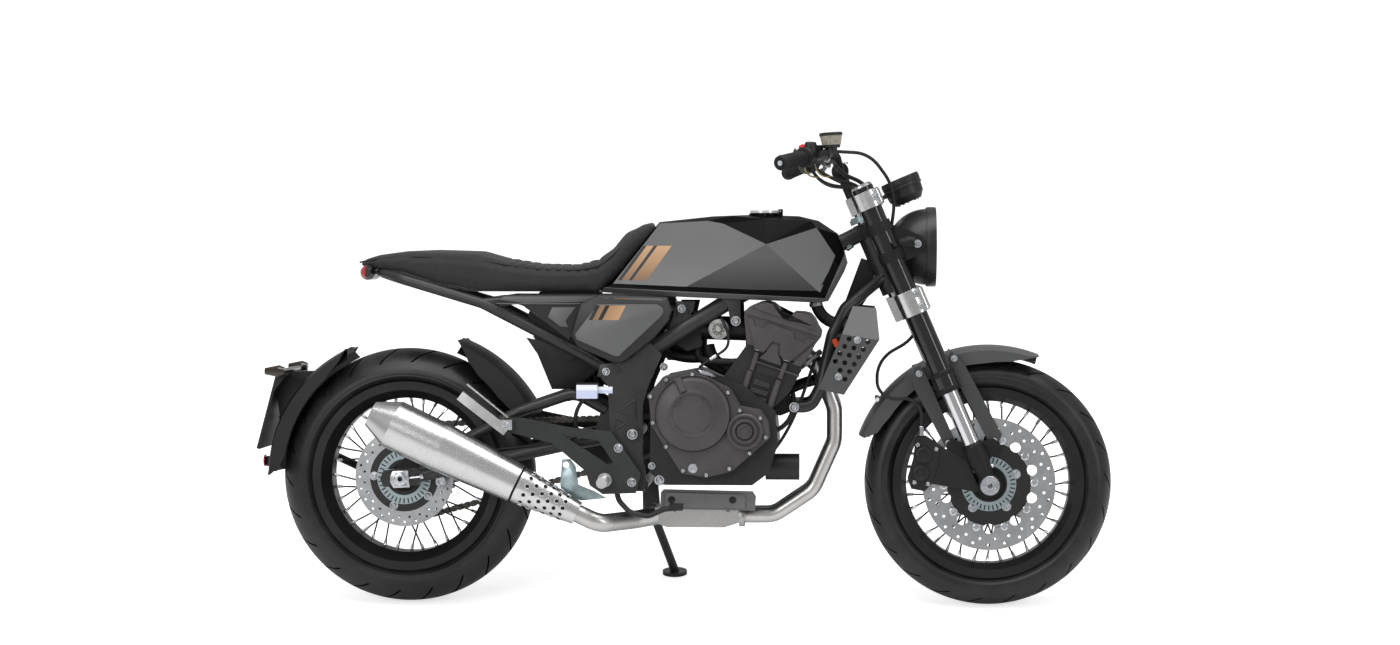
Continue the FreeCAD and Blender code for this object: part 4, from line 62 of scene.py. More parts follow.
eye = machine(1068, -6500, 850)
ahead = (machine(716.9, 0, 687.4) - eye).normalized()
beside = ahead.cross(machine(0, 0, 1) - machine(0, 0, 0)).normalized()
above = beside.cross(ahead)
camera_data = bpy.data.cameras.new("camera")
camera_data.lens = 68.2
camera_data.sensor_width = 36
camera = shown(bpy.data.objects.new("camera", camera_data))
camera.matrix_world = Matrix.Translation(eye) @ Matrix((beside, above, -ahead)).transposed().to_4x4()
bpy.context.scene.camera = camera
bpy.context.scene.view_settings.view_transform = "Standard"


# Studio. A pale seamless floor under a large soft box, a second one behind the
# camera, and a white room round it that the metal and the glass show.
def put(tree, kind, inputs=(), **settings):
    """One shader node: its settings, and its inputs set or linked by name or number."""
    made = tree.nodes.new("ShaderNode" + kind)
    for name, value in settings.items():
        setattr(made, name, value)
    for name, value in dict(inputs).items():
        if isinstance(value, bpy.types.Node):
            value = value.outputs[0]
        if isinstance(value, bpy.types.NodeSocket):
            tree.links.new(value, made.inputs[name])
        else:
            made.inputs[name].default_value = value
    return made


def white_to_rays(tree, lit, mirrored, seen):
    """A strength: for light on the object, for what its shine mirrors, and for the view past it."""
    rays = put(tree, "LightPath").outputs
    direct = put(tree, "Math", {0: rays["Is Camera Ray"], 1: rays["Is Transmission Ray"]},
                 operation="ADD", use_clamp=True)
    shining = put(tree, "Mix", {0: rays["Is Glossy Ray"], 2: lit, 3: mirrored})
    return put(tree, "Mix", {0: direct, 2: shining, 3: seen}).outputs[0]


def new_material(name):
    """A material with an empty node tree."""
    material = bpy.data.materials.new(name)
    material.use_nodes = True
    material.node_tree.nodes.clear()
    return material, material.node_tree


def surfaced(tree, inputs):
    """A material's one surface, joined to its output."""
    surface = put(tree, "BsdfPrincipled", inputs)
    put(tree, "OutputMaterial", {"Surface": surface})
    return surface


WHITE = (1, 1, 1, 1)
room = bpy.data.worlds.new("white_room")
room.use_nodes = True
room.node_tree.nodes.clear()
background = put(room.node_tree, "Background",
                 {"Color": WHITE, "Strength": white_to_rays(room.node_tree, 0.5, 0.42, 1)})
put(room.node_tree, "OutputWorld", {"Surface": background})
bpy.context.scene.world = room

floor_paint, tree = new_material("floor_paint")
surfaced(tree, {"Base Color": (0.86, 0.86, 0.86, 1), "Roughness": 0.85, "Emission Color": WHITE,
                "Emission Strength": white_to_rays(tree, 0, 0, 0.65)})
floor_shape = bmesh.new()
bmesh.ops.create_circle(floor_shape, cap_ends=True, segments=64, radius=60)
floor_mesh = bpy.data.meshes.new("floor")
floor_shape.to_mesh(floor_mesh)
floor_shape.free()
floor_mesh.materials.append(floor_paint)
floor = shown(bpy.data.objects.new("floor", floor_mesh))

for name, place, aim, width, depth, power in (
        ("top_box", (0.2, -0.6, 3.4), (0, -0.1, 0.5), 4.4, 1.8, 95),
        ("camera_box", (-2.4, -4.6, 2.8), (0, 0, 0.6), 2.6, 1.6, 70),
        ("front_strip", (3.4, -2.2, 1.8), (0.4, 0, 0.7), 0.5, 2.4, 22)):
    lamp_data = bpy.data.lights.new(name, "AREA")
    lamp_data.shape = "RECTANGLE"
    lamp_data.size, lamp_data.size_y, lamp_data.energy = width, depth, power
    turn = (Vector(aim) - Vector(place)).to_track_quat("-Z", "Y").to_matrix().to_4x4()
    shown(bpy.data.objects.new(name, lamp_data)).matrix_world = Matrix.Translation(place) @ turn


# Tyres. Radial road tyres of carbon-black rubber, moulded with slanted tread grooves
# and a rim guard on each wall. Each is one closed ring, seated on its rim.
def new_group(name, inputs, outputs):
    """A shader group with numbers in and named sockets out, and its input and output nodes' sockets."""
    group = bpy.data.node_groups.new(name, "ShaderNodeTree")
    for title, value in inputs:
        socket = group.interface.new_socket(title, in_out="INPUT", socket_type="NodeSocketFloat")
        socket.default_value = value
    for title, kind in outputs:
        group.interface.new_socket(title, in_out="OUTPUT", socket_type=kind)
    return group, group.nodes.new("NodeGroupInput").outputs, group.nodes.new("NodeGroupOutput").inputs


def figure(tree, operation, *values):
    """One step of arithmetic on a material's values."""
    return put(tree, "Math", dict(enumerate(values)), operation=operation).outputs[0]


def ramp(tree, value, low, high, first=0, last=1):
    """A value's place between two others, as a figure from first to last."""
    return put(tree, "MapRange", {0: value, 1: low, 2: high, 3: first, 4: last}).outputs[0]


grain_group, given, handed = new_group(
    "moulded_grain", [("Fineness", 900), ("Patch Size", 9)],
    [("Height", "NodeSocketFloat"), ("Patches", "NodeSocketFloat")])
place = put(grain_group, "TexCoord").outputs["Object"]
fine = put(grain_group, "TexNoise", {"Vector": place, "Scale": given["Fineness"], "Detail": 4,
                                     "Roughness": 0.6})
broad = put(grain_group, "TexNoise",
            {"Vector": place, "Scale": given["Patch Size"], "Detail": 5, "Roughness": 0.62})
grain_group.links.new(fine.outputs[0], handed["Height"])
grain_group.links.new(ramp(grain_group, broad, 0.32, 0.68), handed["Patches"])

edge_group, given, handed = new_group(
    "rounded_edges", [("Radius", 0.001)], [("Edge", "NodeSocketFloat"), ("Normal", "NodeSocketVector")])
rounded = put(edge_group, "Bevel", {"Radius": given["Radius"]}, samples=4)
plain = put(edge_group, "NewGeometry").outputs["Normal"]
turn = put(edge_group, "VectorMath", {0: rounded, 1: plain}, operation="DOT_PRODUCT").outputs["Value"]
edge_group.links.new(ramp(edge_group, turn, 0.99, 0.8), handed["Edge"])
edge_group.links.new(rounded.outputs[0], handed["Normal"])


def blend(tree, share, first, second):
    """A colour between two, by a share from 0 to 1. A lone number is a grey."""
    colours = [(*(value if isinstance(value, tuple) else (value,) * 3), 1)
               if isinstance(value, (tuple, float)) else value for value in (first, second)]
    return put(tree, "Mix", {0: share, 6: colours[0], 7: colours[1]}, data_type="RGBA").outputs[2]


def shaded(colour, share):
    """A colour, or a number for a grey, made darker or lighter by a share of itself."""
    return tuple(min(1, part * share) for part in (colour if isinstance(colour, tuple) else (colour,) * 3))


def bump(tree, strength, distance, height, edges=None):
    """A surface's relief, over rounded edges if they are given."""
    under = {"Normal": edges["Normal"]} if edges else {}
    return put(tree, "Bump", {"Strength": strength, "Distance": distance, "Height": height, **under})


def finish(name, colour, roughness, metallic=0, specular=0.5, coat=0, fineness=900,
           relief=0.15, patches=0.12, patch_size=9, wear=0, rounding=0.0008):
    """A painted, moulded or cast surface: grain, patches of tone, soft and worn edges."""
    material, tree = new_material(name)
    grain = put(tree, "Group", {"Fineness": fineness, "Patch Size": patch_size},
                node_tree=grain_group).outputs
    edges = put(tree, "Group", {"Radius": rounding}, node_tree=edge_group).outputs
    tone = blend(tree, grain["Patches"], shaded(colour, 1 - patches), shaded(colour, 1 + patches))
    rubbed = figure(tree, "MULTIPLY", edges["Edge"], wear)
    surfaced(tree, {
        "Base Color": blend(tree, rubbed, tone, shaded(colour, 2.4)), "Metallic": metallic,
        "Roughness": ramp(tree, grain["Patches"], 0, 1, max(0.03, roughness - 0.05),
                          min(1, roughness + 0.06)),
        "Specular IOR Level": specular, "Coat Weight": coat, "Coat Roughness": 0.08 if coat else 0.03,
        "Normal": bump(tree, relief, 0.0004, grain["Height"], edges)})
    return material


def each(shapes):
    """The shapes of a list of shapes and of such lists."""
    for shape in shapes:
        if isinstance(shape, bmesh.types.BMesh):
            yield shape
        else:
            yield from each(shape)


def piece(name, material, body, shapes, stands_for=(), crease=35):
    """Join finished shapes to one piece in its place on the leaning machine, riding on its body."""
    whole = bmesh.new()
    for shape in each(shapes):
        carrier = bpy.data.meshes.new("shape")
        shape.to_mesh(carrier)
        shape.free()
        whole.from_mesh(carrier)
        bpy.data.meshes.remove(carrier)
    bmesh.ops.transform(whole, matrix=STANCE, verts=whole.verts)
    bmesh.ops.recalc_face_normals(whole, faces=whole.faces)
    mesh = bpy.data.meshes.new(name)
    whole.to_mesh(mesh)
    whole.free()
    for part in material if isinstance(material, tuple) else [material]:
        mesh.materials.append(part)
    mesh.shade_smooth()
    mesh.set_sharp_from_angle(angle=math.radians(crease))
    thing = shown(bpy.data.objects.new(name, mesh))
    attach(thing, body)
    if stands_for:
        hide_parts(*stands_for)


def dress(material, *nodes):
    """Give CAD nodes their material."""
    for node in nodes:
        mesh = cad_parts[node].data
        mesh.materials.clear()
        mesh.materials.append(material)


REAR_AXLE = Vector((0, 0, 312))
FRONT_AXLE = Vector((1420, 0, 300))
BEAD = 218
SHOULDER = 0.47
SWEEP = 0.22


def tyre_section(radius, width, crown, rim_width):
    """The tyre's closed section as (distance from its middle, radius) points."""
    shoulder = width * SHOULDER
    tread = []
    for step in range(-8, 9):
        y = shoulder * step / 8
        tread.append((y, radius - crown + math.sqrt(crown ** 2 - y ** 2)))
    guard = BEAD + 19
    top = tread[0][1]
    wall = [(width * share + out, top - (top - guard) * depth) for share, out, depth in (
        (0.492, 0, 0.22), (0.496, 0, 0.34), (0.496, 1.2, 0.36), (0.497, 1.2, 0.4), (0.498, 0, 0.42),
        (0.5, 0, 0.5))]
    wall += [(width * share, guard + up) for share, up in ((0.487, 12), (0.492, 9), (0.47, 5.5), (0.462, 4))]
    half = rim_width / 2
    right = wall + [(half + 1, guard), (half - 6, BEAD + 14), (half - 6, BEAD)]
    return [(-y, r) for y, r in reversed(right)] + tread + right


def tyre(node, centre, radius, width, crown, rim_width, pitches, groove_depth):
    """Spin the section in short steps for the grooves and long ones for the blocks between."""
    shape = bmesh.new()
    verts = [shape.verts.new((0, y, r)) for y, r in tyre_section(radius, width, crown, rim_width)]
    ring = verts + [shape.edges.new((verts[index - 1], verts[index])) for index in range(len(verts))]
    groove = 6.4 / radius
    marked = []

    def spun(ring, angle, steps):
        return bmesh.ops.spin(shape, geom=ring, axis=(0, 1, 0), cent=(0, 0, 0), angle=angle,
                              steps=steps)["geom_last"]

    for number in range(pitches):
        for side in SIDES:
            ring = spun(ring, groove, 1)
            for edge in [item for item in ring if isinstance(item, bmesh.types.BMEdge)]:
                for face in edge.link_faces:
                    middle = face.calc_center_median()
                    share = side * middle.y / (width * SHOULDER)
                    if 0.14 < share < 0.9 and math.hypot(middle.x, middle.z) > radius - crown * 0.5:
                        marked.append(face)
            ring = spun(ring, math.pi / pitches - groove, 3)
    bmesh.ops.remove_doubles(shape, verts=shape.verts, dist=0.05)
    marked = [face for face in set(marked) if face.is_valid]
    cut = bmesh.ops.extrude_face_region(shape, geom=marked)
    bmesh.ops.delete(shape, geom=marked, context="FACES")
    for vert in [item for item in cut["geom"] if isinstance(item, bmesh.types.BMVert)]:
        for face in vert.link_faces:
            # The faces round the cut grooves take the second material: painted shade, a near-black rubber for
            # the shade inside the grooves.
            face.material_index = 1
        reach = math.hypot(vert.co.x, vert.co.z)
        vert.co.x *= (reach - groove_depth) / reach
        vert.co.z *= (reach - groove_depth) / reach
    for vert in shape.verts:
        share = max(-1, min(1, vert.co.y / (width * SHOULDER)))
        if math.hypot(vert.co.x, vert.co.z) > BEAD + 24:
            vert.co = Matrix.Rotation(SWEEP * (math.cos(share * 1.5) - math.cos(1.5)), 3, "Y") @ vert.co
    bmesh.ops.translate(shape, vec=centre, verts=shape.verts)
    piece(node + "_ring", (rubber, groove_shade_rubber), node.replace("tyre", "wheel"), [shape], (node,),
          40)


rubber = finish("tyre_rubber", (0.0125, 0.0120, 0.0122), 0.4, specular=0.42, fineness=600, relief=0.3,
                patches=0.45, patch_size=14, wear=0.5, rounding=0.0016)
# Painted shade: the groove faces are darker than the tyre's own rubber, standing in for the shade inside the
# grooves.
groove_shade_rubber = finish("groove_shade_rubber", 0.002, 0.8, specular=0.05, relief=0.2)
tyre("rear_tyre", REAR_AXLE, 312, 160, 84, 128, 22, 5)
tyre("front_tyre", FRONT_AXLE, 300, 120, 70, 96, 22, 4.6)


# Rims, hubs and discs. Black anodised rims laced to cast hubs with zinc-tipped steel
# spokes; the discs are ground stainless, riveted to black carriers.
def lathe(profile, segments, base, axis):
    """A lathe-turned shape from (distance, radius) points, stood on a base along an axis."""
    shape = bmesh.new()
    verts = [shape.verts.new((r, 0, z)) for z, r in profile]
    edges = [shape.edges.new(pair) for pair in zip(verts, verts[1:])]
    bmesh.ops.spin(shape, geom=verts + edges, cent=(0, 0, 0), axis=(0, 0, 1), angle=2 * math.pi,
                   steps=segments, use_merge=True)
    bmesh.ops.remove_doubles(shape, verts=shape.verts, dist=0.01)
    bmesh.ops.recalc_face_normals(shape, faces=shape.faces)
    bmesh.ops.transform(shape, matrix=facing(base, axis), verts=shape.verts)
    return shape


def facing(base, axis):
    """The matrix that stands a shape made about Z on a point, along an axis."""
    return Matrix.Translation(base) @ Vector(axis).to_track_quat("Z", "Y").to_matrix().to_4x4()


def bolt(base, axis, radius=6, height=5, washer=0):
    """A button-headed bolt with a sunk socket, and a washer under it if asked."""
    under = [lathe([(0, 0), (0, washer), (1.2, washer), (1.2, 0)], 16, base, axis)] if washer else []
    sunk = height * 0.35
    return under + [lathe([(0, radius), (height * 0.55, radius), (height, radius * 0.72),
                           (height, radius * 0.5), (sunk, radius * 0.46), (sunk, 0)], 12, base, axis)]


def side_bolts(spots, y, radius, height, washer=0, sides=SIDES):
    """Bolts at (x, z) spots, square to the machine's sides."""
    return [bolt((x, sign * y, z), (0, sign, 0), radius, height, washer) for sign in sides for x, z in spots]


def polar(radius, angle, y=0):
    """A way out from an axle."""
    return Vector((radius * math.cos(angle), y, radius * math.sin(angle)))


def turns(count, first=0):
    """Angles spaced evenly round a circle."""
    return [math.radians(number * 360 / count + first) for number in range(count)]


black_cast = finish("cast_black", 0.012, 0.45, specular=0.3, relief=0.3, fineness=700, patches=0.2, wear=0.2)
zinc = finish("zinc_plate", (0.62, 0.64, 0.67), 0.26, metallic=1, relief=0.12, fineness=500,
              patches=0.18, patch_size=40, rounding=0.0005)
dress(finish("rim_anodise", (0.010, 0.010, 0.011), 0.34, specular=0.35, relief=0.05, patches=0.2, wear=0.25),
      "front_rim", "rear_rim")
dress(black_cast, "front_hub", "rear_hub")
dress(zinc, "front_axle", "rear_axle")
dress(finish("turned_steel", (0.5, 0.5, 0.51), 0.3, metallic=1, relief=0.1, patches=0.2), "rear_sprocket")
dress(finish("oiled_chain", (0.14, 0.13, 0.12), 0.38, metallic=0.9, relief=0.2, patches=0.4, patch_size=60),
      "drive_chain")

for node, centre, inner, ring_from in (("front_disc", FRONT_AXLE, 0.101, -0.0724),
                                       ("rear_disc", REAR_AXLE, 0.084, -0.0954)):
    material, tree = new_material(node + "_steel")
    place = put(tree, "TexCoord").outputs["Object"]
    moved = put(tree, "Mapping", {"Vector": place, "Location": -machine(*centre)}, vector_type="POINT")
    level = put(tree, "VectorRotate", {"Vector": moved, "Axis": (1, 0, 0), "Angle": LEAN})
    flat = put(tree, "VectorMath", {0: level, 1: (1, 0, 1)}, operation="MULTIPLY")
    reach = put(tree, "VectorMath", {0: flat}, operation="LENGTH").outputs["Value"]
    rings = put(tree, "CombineXYZ", {"X": reach, "Y": 0, "Z": 0})
    ground = put(tree, "TexNoise", {"Vector": rings, "Scale": 900, "Detail": 3})
    cloud = put(tree, "TexNoise", {"Vector": place, "Scale": 26, "Detail": 6, "Roughness": 0.7})
    metal = blend(tree, ramp(tree, ground, 0.35, 0.65, 0, 0.3),
                  blend(tree, cloud.outputs[0], (0.30, 0.31, 0.32), (0.72, 0.73, 0.75)), (0.25, 0.25, 0.26))
    stands_out = figure(tree, "LESS_THAN", put(tree, "SeparateXYZ", {0: level}).outputs[1], ring_from)
    ring = figure(tree, "MULTIPLY", stands_out, figure(tree, "LESS_THAN", reach, 0.0664))
    outside = figure(tree, "MAXIMUM", figure(tree, "GREATER_THAN", reach, inner), ring)
    surfaced(tree, {
        "Base Color": blend(tree, outside, 0.008, blend(tree, ring, metal, (0.42, 0.50, 0.52))),
        "Metallic": outside, "Roughness": ramp(tree, outside, 0, 1, 0.4, 0.33),
        "Normal": bump(tree, 0.12, 0.0003, ground)})
    dress(material, node)

for wheel, centre, flange, offset, reach in (("front_wheel", FRONT_AXLE, 42, 40, 198),
                                             ("rear_wheel", REAR_AXLE, 48, 48, 190)):
    nipples = []
    for number, angle in enumerate(turns(36)):
        side = 1 if number % 2 else -1
        lean, out, in_rim = (46, 2, 13) if number // 2 % 2 else (-46, -2, 5)
        root = centre + polar(flange, angle + math.radians(lean), side * (offset + out))
        end = centre + polar(reach, angle, side * in_rim)
        nipples.append(lathe([(1.2, 0), (1.2, 4.2), (14, 3.6), (17, 2.2), (17, 0)], 8, end,
                             (root - end).normalized()))
    piece(f"{wheel}_nipples", zinc, wheel, nipples)

piece("front_disc_rivets", zinc, "front_wheel", [
    [lathe([(0, 9.5), (2.2, 9.5), (3, 8), (3, 5.5), (1.6, 5), (1.6, 0)], 18,
           FRONT_AXLE + polar(109, angle, -77.1), RIGHT) for angle in turns(10, 2)],
    [bolt(FRONT_AXLE + polar(69, angle, -72.2), RIGHT, 7, 7, 11.5) for angle in turns(5, 20)]])
piece("rear_disc_bolts", zinc, "rear_wheel",
      [bolt(REAR_AXLE + polar(74, angle, -95), RIGHT, 7, 6, 10.5) for angle in turns(5, 34)])
piece("front_axle_nut", zinc, "steering", [
    lathe([(0, 7), (0, 23.5), (5, 23.5), (7, 22), (7, 15), (4.5, 14), (4.5, 9.4), (8.4, 8.8), (8.4, 7)], 48,
          FRONT_AXLE + Vector((0, -121.8, 0)), RIGHT)])

# Fork. Gloss black outer tubes and chromed stanchions in matt black axle castings,
# held by two machined aluminium clamps with socket-headed pinch bolts.
RAKE = math.radians(23.3)
FORK_UP = Vector((-math.sin(RAKE), 0, math.cos(RAKE)))
FORK_FORWARD = Vector((math.cos(RAKE), 0, math.sin(RAKE)))
LEG = 105


def on_fork(up, forward=0, y=0):
    """A point of the fork, measured from the front axle."""
    return FRONT_AXLE + FORK_UP * up + FORK_FORWARD * forward + Vector((0, y, 0))


def bar(start, stop, radius, segments=16):
    """A round bar with eased ends from one point to another."""
    start, stop = Vector(start), Vector(stop)
    length = (stop - start).length
    ease = min(1, radius * 0.2)
    return lathe([(0, 0), (0, radius - ease), (ease, radius), (length - ease, radius),
                  (length, radius - ease), (length, 0)], segments, start, stop - start)


gloss_black = finish("gloss_black", (0.008, 0.008, 0.009), 0.14, specular=0.4, relief=0.02, patches=0.1,
                     coat=0.4)
matt_black = finish("matt_black", (0.009, 0.009, 0.0095), 0.5, specular=0.25, relief=0.25, patches=0.2)
machined = finish("machined_aluminium", (0.68, 0.68, 0.69), 0.2, metallic=1, relief=0.02, patches=0.06,
                  patch_size=12, rounding=0.0005)
dress(gloss_black, "fork_tubes")
dress(finish("hard_chrome", (0.75, 0.75, 0.77), 0.07, metallic=1, relief=0.02, patches=0.05),
      "fork_stanchions")
dress(matt_black, "fork_feet")
dress(machined, "fork_clamps")
piece("fork_bolts", zinc, "steering", [[
    [bolt(on_fork(up, 20, sign * 138), (0, sign, 0), 6.5, 6, 9) for up in (461, 493, 745)],
    lathe([(0, 26), (5, 25), (8, 21), (8, 13), (4, 12), (4, 0)], 32, on_fork(778, 0, sign * LEG), FORK_UP),
    bolt(on_fork(40, 22, sign * LEG), FORK_FORWARD, 5, 5)] for sign in SIDES])
piece("clamp_ears", machined, "steering", [
    bar(on_fork(low, 26, sign * 124), on_fork(high, 26, sign * 124), radius)
    for sign in SIDES for low, high, radius in ((450, 504, 13), (727, 763, 11))])
piece("fork_seals", matt_black, "steering", [
    lathe(profile, 40, on_fork(up, 0, sign * LEG), FORK_UP) for sign in SIDES for up, profile in (
        (244, [(0, 30.4), (6, 31.5), (12, 31.5), (14, 30.2)]),
        (286, [(0, 27.2), (0, 30), (3, 30.6), (10, 30.6), (13, 27.2)]),
        (98, [(0, 20.6), (0, 25.5), (8, 24), (12, 20.6)]))])


# Frame and swinging arm. Welded steel tube and forged pivot plates in satin black
# powder coat, with bright flanged bolts at the joints.
def plate(outline, thickness, y, lip=1.2, holes=()):
    """A flat plate from (x, z) corners with eased edges, centred across at a place."""
    shape = bmesh.new()
    edges = []
    for loop in [outline] + [[(x + r * math.cos(way), z + r * math.sin(way)) for way in turns(12)]
                             for x, z, r in holes]:
        verts = [shape.verts.new((x, 0, z)) for x, z in loop]
        edges += [shape.edges.new((verts[index - 1], verts[index])) for index in range(len(verts))]
    bmesh.ops.triangle_fill(shape, use_beauty=True, use_dissolve=False, edges=edges)
    bmesh.ops.dissolve_limit(shape, angle_limit=0.01, verts=shape.verts, edges=shape.edges)
    grown = bmesh.ops.extrude_face_region(shape, geom=list(shape.faces))
    moved = [item for item in grown["geom"] if isinstance(item, bmesh.types.BMVert)]
    bmesh.ops.translate(shape, vec=(0, thickness, 0), verts=moved)
    bmesh.ops.translate(shape, vec=(0, y - thickness / 2, 0), verts=shape.verts)
    bmesh.ops.recalc_face_normals(shape, faces=shape.faces)
    rims = [edge for edge in shape.edges if len(edge.link_faces) == 2 and edge.calc_face_angle(0) > 0.6
            and abs(edge.verts[0].co.y - edge.verts[1].co.y) < 0.01]
    bmesh.ops.bevel(shape, geom=rims, offset=lip, offset_type="OFFSET", segments=2, profile=0.5,
                    affect="EDGES", material=-1, clamp_overlap=True)
    return shape


def side_plates(*plates):
    """Plates on both sides, from (corners, thickness, y, lip) rows."""
    return [plate(outline, thickness, sign * y, *lip)
            for sign in SIDES for outline, thickness, y, *lip in plates]


def bead(spots, y, radius, segments=8):
    """Round bars from spot to spot of a line of (x, z) spots."""
    return [bar((first[0], y, first[1]), (second[0], y, second[1]), radius, segments)
            for first, second in zip(spots, spots[1:])]


frame_black = finish("frame_powder_coat", (0.026, 0.0245, 0.0255), 0.34, specular=0.4, relief=0.3,
                     fineness=1400, patches=0.25, wear=0.15)
dress(frame_black, "main_frame", "rear_subframe", "swingarm")
dress(matt_black, "rear_shock")
JOINTS = [(678.3, 723.4, 112, 10), (497.9, 572.5, 141, 9.5), (562, 422, 146.5, 13), (950, 486, 110.5, 12),
          (809.7, 694, 120, 12)]
RIGHT_JOINTS = [(636.7, 583.7, 125, 10), (608.7, 345.9, 149, 9), (626.9, 311.6, 149, 12)]
piece("frame_bolts", zinc, "frame", [
    bolt((x, sign * y, z), (0, sign, 0), radius * 0.72, 7, radius) for sign in SIDES
    for x, z, y, radius in JOINTS + (RIGHT_JOINTS if sign < 0 else [])])
piece("frame_gussets", frame_black, "frame", [
    side_plates(([(767, 760), (820, 757), (822, 700), (809, 684), (797, 690), (790, 728)], 6, 117),
                ([(664, 742), (712, 742), (706, 716), (672, 690), (664, 706)], 6, 109),
                ([(476, 560), (484, 590), (516, 594), (540, 572), (512, 556)], 5, 138.5)),
    [[bead([(570.5, 456.3), (568, 505.3), (531.3, 478.3), (570.5, 456.3)], sign * 139.6, 2.6),
      bead([(522.4, 434.2), (521.5, 461.2), (546, 448.9), (522.4, 434.2)], sign * 139.6, 2.6),
      lathe([(0, 20), (4, 19), (4, 15), (0.8, 14), (0.8, 0)], 28, (563, sign * 140, 422), (0, sign, 0))]
     for sign in SIDES]])
piece("head_wiring_cover", matt_black, "frame",
      [plate([(1112, 846), (1140, 836), (1144, 782), (1124, 744), (1098, 706), (1066, 722)], 32, 0, 5)])
piece("axle_adjusters", zinc, "frame", [[
    plate([(-25, 304), (-25, 320), (-18, 331), (19, 333), (23, 292), (-17, 290)], 5, sign * 150.5, 1.2,
          ((0, 312, 9),)),
    lathe([(0, 9), (0, 15.5), (5, 15), (6, 13.5), (6, 9)], 32, (0, sign * 152.6, 312), (0, sign, 0)),
    bar((20, sign * 145, 314), (52, sign * 148, 318), 3.2, 10),
    bar((48, sign * 147.6, 317.6), (56, sign * 148.4, 318.6), 6, 6)] for sign in SIDES])
shock_foot = Vector((404, 0, 532))
shock_way = Vector((574, 0, 622)) - shock_foot
piece("shock_collars", zinc, "frame", [
    lathe([(0, 42.2), (0, 43.4), (4, 43.4), (4, 42.2)], 40, shock_foot + shock_way.normalized() * along,
          shock_way)
    for along in (16, 118)])

# Engine. Sand-cast aluminium cases painted a warm dark grey: a ribbed cylinder block,
# a head with a moulded cam cover, and round covers held by small bright bolts.
engine_paint = finish("engine_paint", (0.056, 0.050, 0.053), 0.4, specular=0.4, relief=0.5, fineness=1100,
                      patches=0.18, wear=0.3, rounding=0.0012)
case_black = finish("case_black", (0.016, 0.015, 0.0155), 0.42, specular=0.35, relief=0.4, patches=0.3,
                    wear=0.25)
dress(case_black, "engine_crankcase")
dress(engine_paint, "cylinder_head", "clutch_cover", "generator_cover")

CAM_COVER = [(843.3, 729.4), (864.8, 738), (884.1, 740.1), (899.1, 734.8), (909.8, 726.2), (916.2, 713.3),
             (923.7, 702.6), (935.5, 697.2), (944.1, 706.9), (954.8, 714.4), (974.1, 713.3), (989.1, 709),
             (999.8, 696.2), (1008.4, 679), (1015.9, 666.2)]
FINS = [[(855.8, 558), (895.6, 544.1), (892.4, 530.1), (847.3, 542.8)],
        [(846.2, 537.6), (891.3, 524.7), (887, 511.9), (840.8, 524.7)],
        [(839.7, 519.4), (887, 507.6), (882.7, 494.6), (834.4, 506.3)],
        [(833.3, 501.1), (881.6, 489.4), (878.4, 477.5), (827.9, 489.4)]]
PILLARS = [((862.4, 619.6), (847.4, 575.6), 6.5), ((844.8, 574.7), (817.3, 489.9), 7.5),
           ((931.1, 594.9), (915.9, 556.1), 6.5), ((913.8, 552.5), (885.9, 470.4), 7.5)]
head_relief = []
for sign in SIDES:
    head_relief.append(plate([(x * 0.9 + 92, z * 0.9 + 71) for x, z in CAM_COVER], 4, sign * 148.6, 1.4))
    for fin in FINS:
        for share in (0.25, 0.5, 0.75):
            upper = Vector(fin[0]).lerp(Vector(fin[3]), share)
            lower = Vector(fin[1]).lerp(Vector(fin[2]), share)
            ends = [(upper.x + 3, upper.y - 1), (lower.x - 3, lower.y + 1)]
            head_relief += bead(ends, sign * 137.2, 0.9, 6)
    head_relief += [bar((high[0], sign * 138, high[1]), (low[0], sign * 136, low[1]), radius, 14)
                    for high, low, radius in PILLARS]
    head_relief += bead([(849, 600.7), (963.2, 562.2)], sign * 140, 2.2)
    head_relief += bead([(846, 690), (846, 606)], sign * 108, 13, 16)
piece("head_relief", engine_paint, "frame", head_relief)

clutch_middle = Vector((710, 0, 473))
cover_relief = []
for angle in turns(4, 45):
    cover_relief += [bar(clutch_middle + polar(44.5, angle + spread, -203.9),
                         clutch_middle + polar(51, angle + spread, -204.5), 1.6, 8)
                     for spread in (-0.24, 0.24)]
    ring = [clutch_middle + polar(44, angle + spread, -203.9) for spread in (-0.24, -0.12, 0, 0.12, 0.24)]
    cover_relief += [bar(first, second, 1.5, 8) for first, second in zip(ring, ring[1:])]
CASE_EDGE = [(604, 517), (640, 560), (708, 575), (796, 531), (822, 489), (870, 480), (888, 452), (891, 417),
             (801, 336), (742, 322), (682, 331), (611, 445), (604, 517)]
piece("cover_relief", engine_paint, "frame", [
    cover_relief, bar((709, -181, 386), (709, -181, 352), 3.4, 10),
    bar((673, -189, 556), (689, -200, 525), 11, 20), bead(CASE_EDGE, -151, 3.4), bead(CASE_EDGE, -158, 2)])
piece("engine_bolts", zinc, "frame", [
    side_bolts(((608, 515), (614, 452), (646, 395), (686, 338), (742, 328), (797, 343), (845, 380),
                (884, 418), (871, 464), (822, 482), (794, 525), (646, 555),
                (708, 568)), 184.4, 5.6, 5.5, 0, (-1,)),
    side_bolts(((720, 490), (760, 506), (880, 450), (868, 352), (800, 330), (730, 345)), 179.8, 5.4, 5, 0,
               (1,)),
    side_bolts(((612, 470), (640, 350)), 126, 5.4, 5, 0, (1,)),
    [lathe([(0, 8.5), (2, 8.5), (2, 6.6), (9, 6.6), (10, 5), (10, 0)], 6, (x, sign * 139, z), (0.25, 0, 0.95))
     for sign in SIDES for x, z in ((863.4, 623.7), (932.1, 598.9))],
    lathe([(0, 11.5), (2.5, 11.5), (4, 10), (4, 7), (2.5, 6), (2.5, 0)], 24, (709.3, -182, 343.2), RIGHT)])


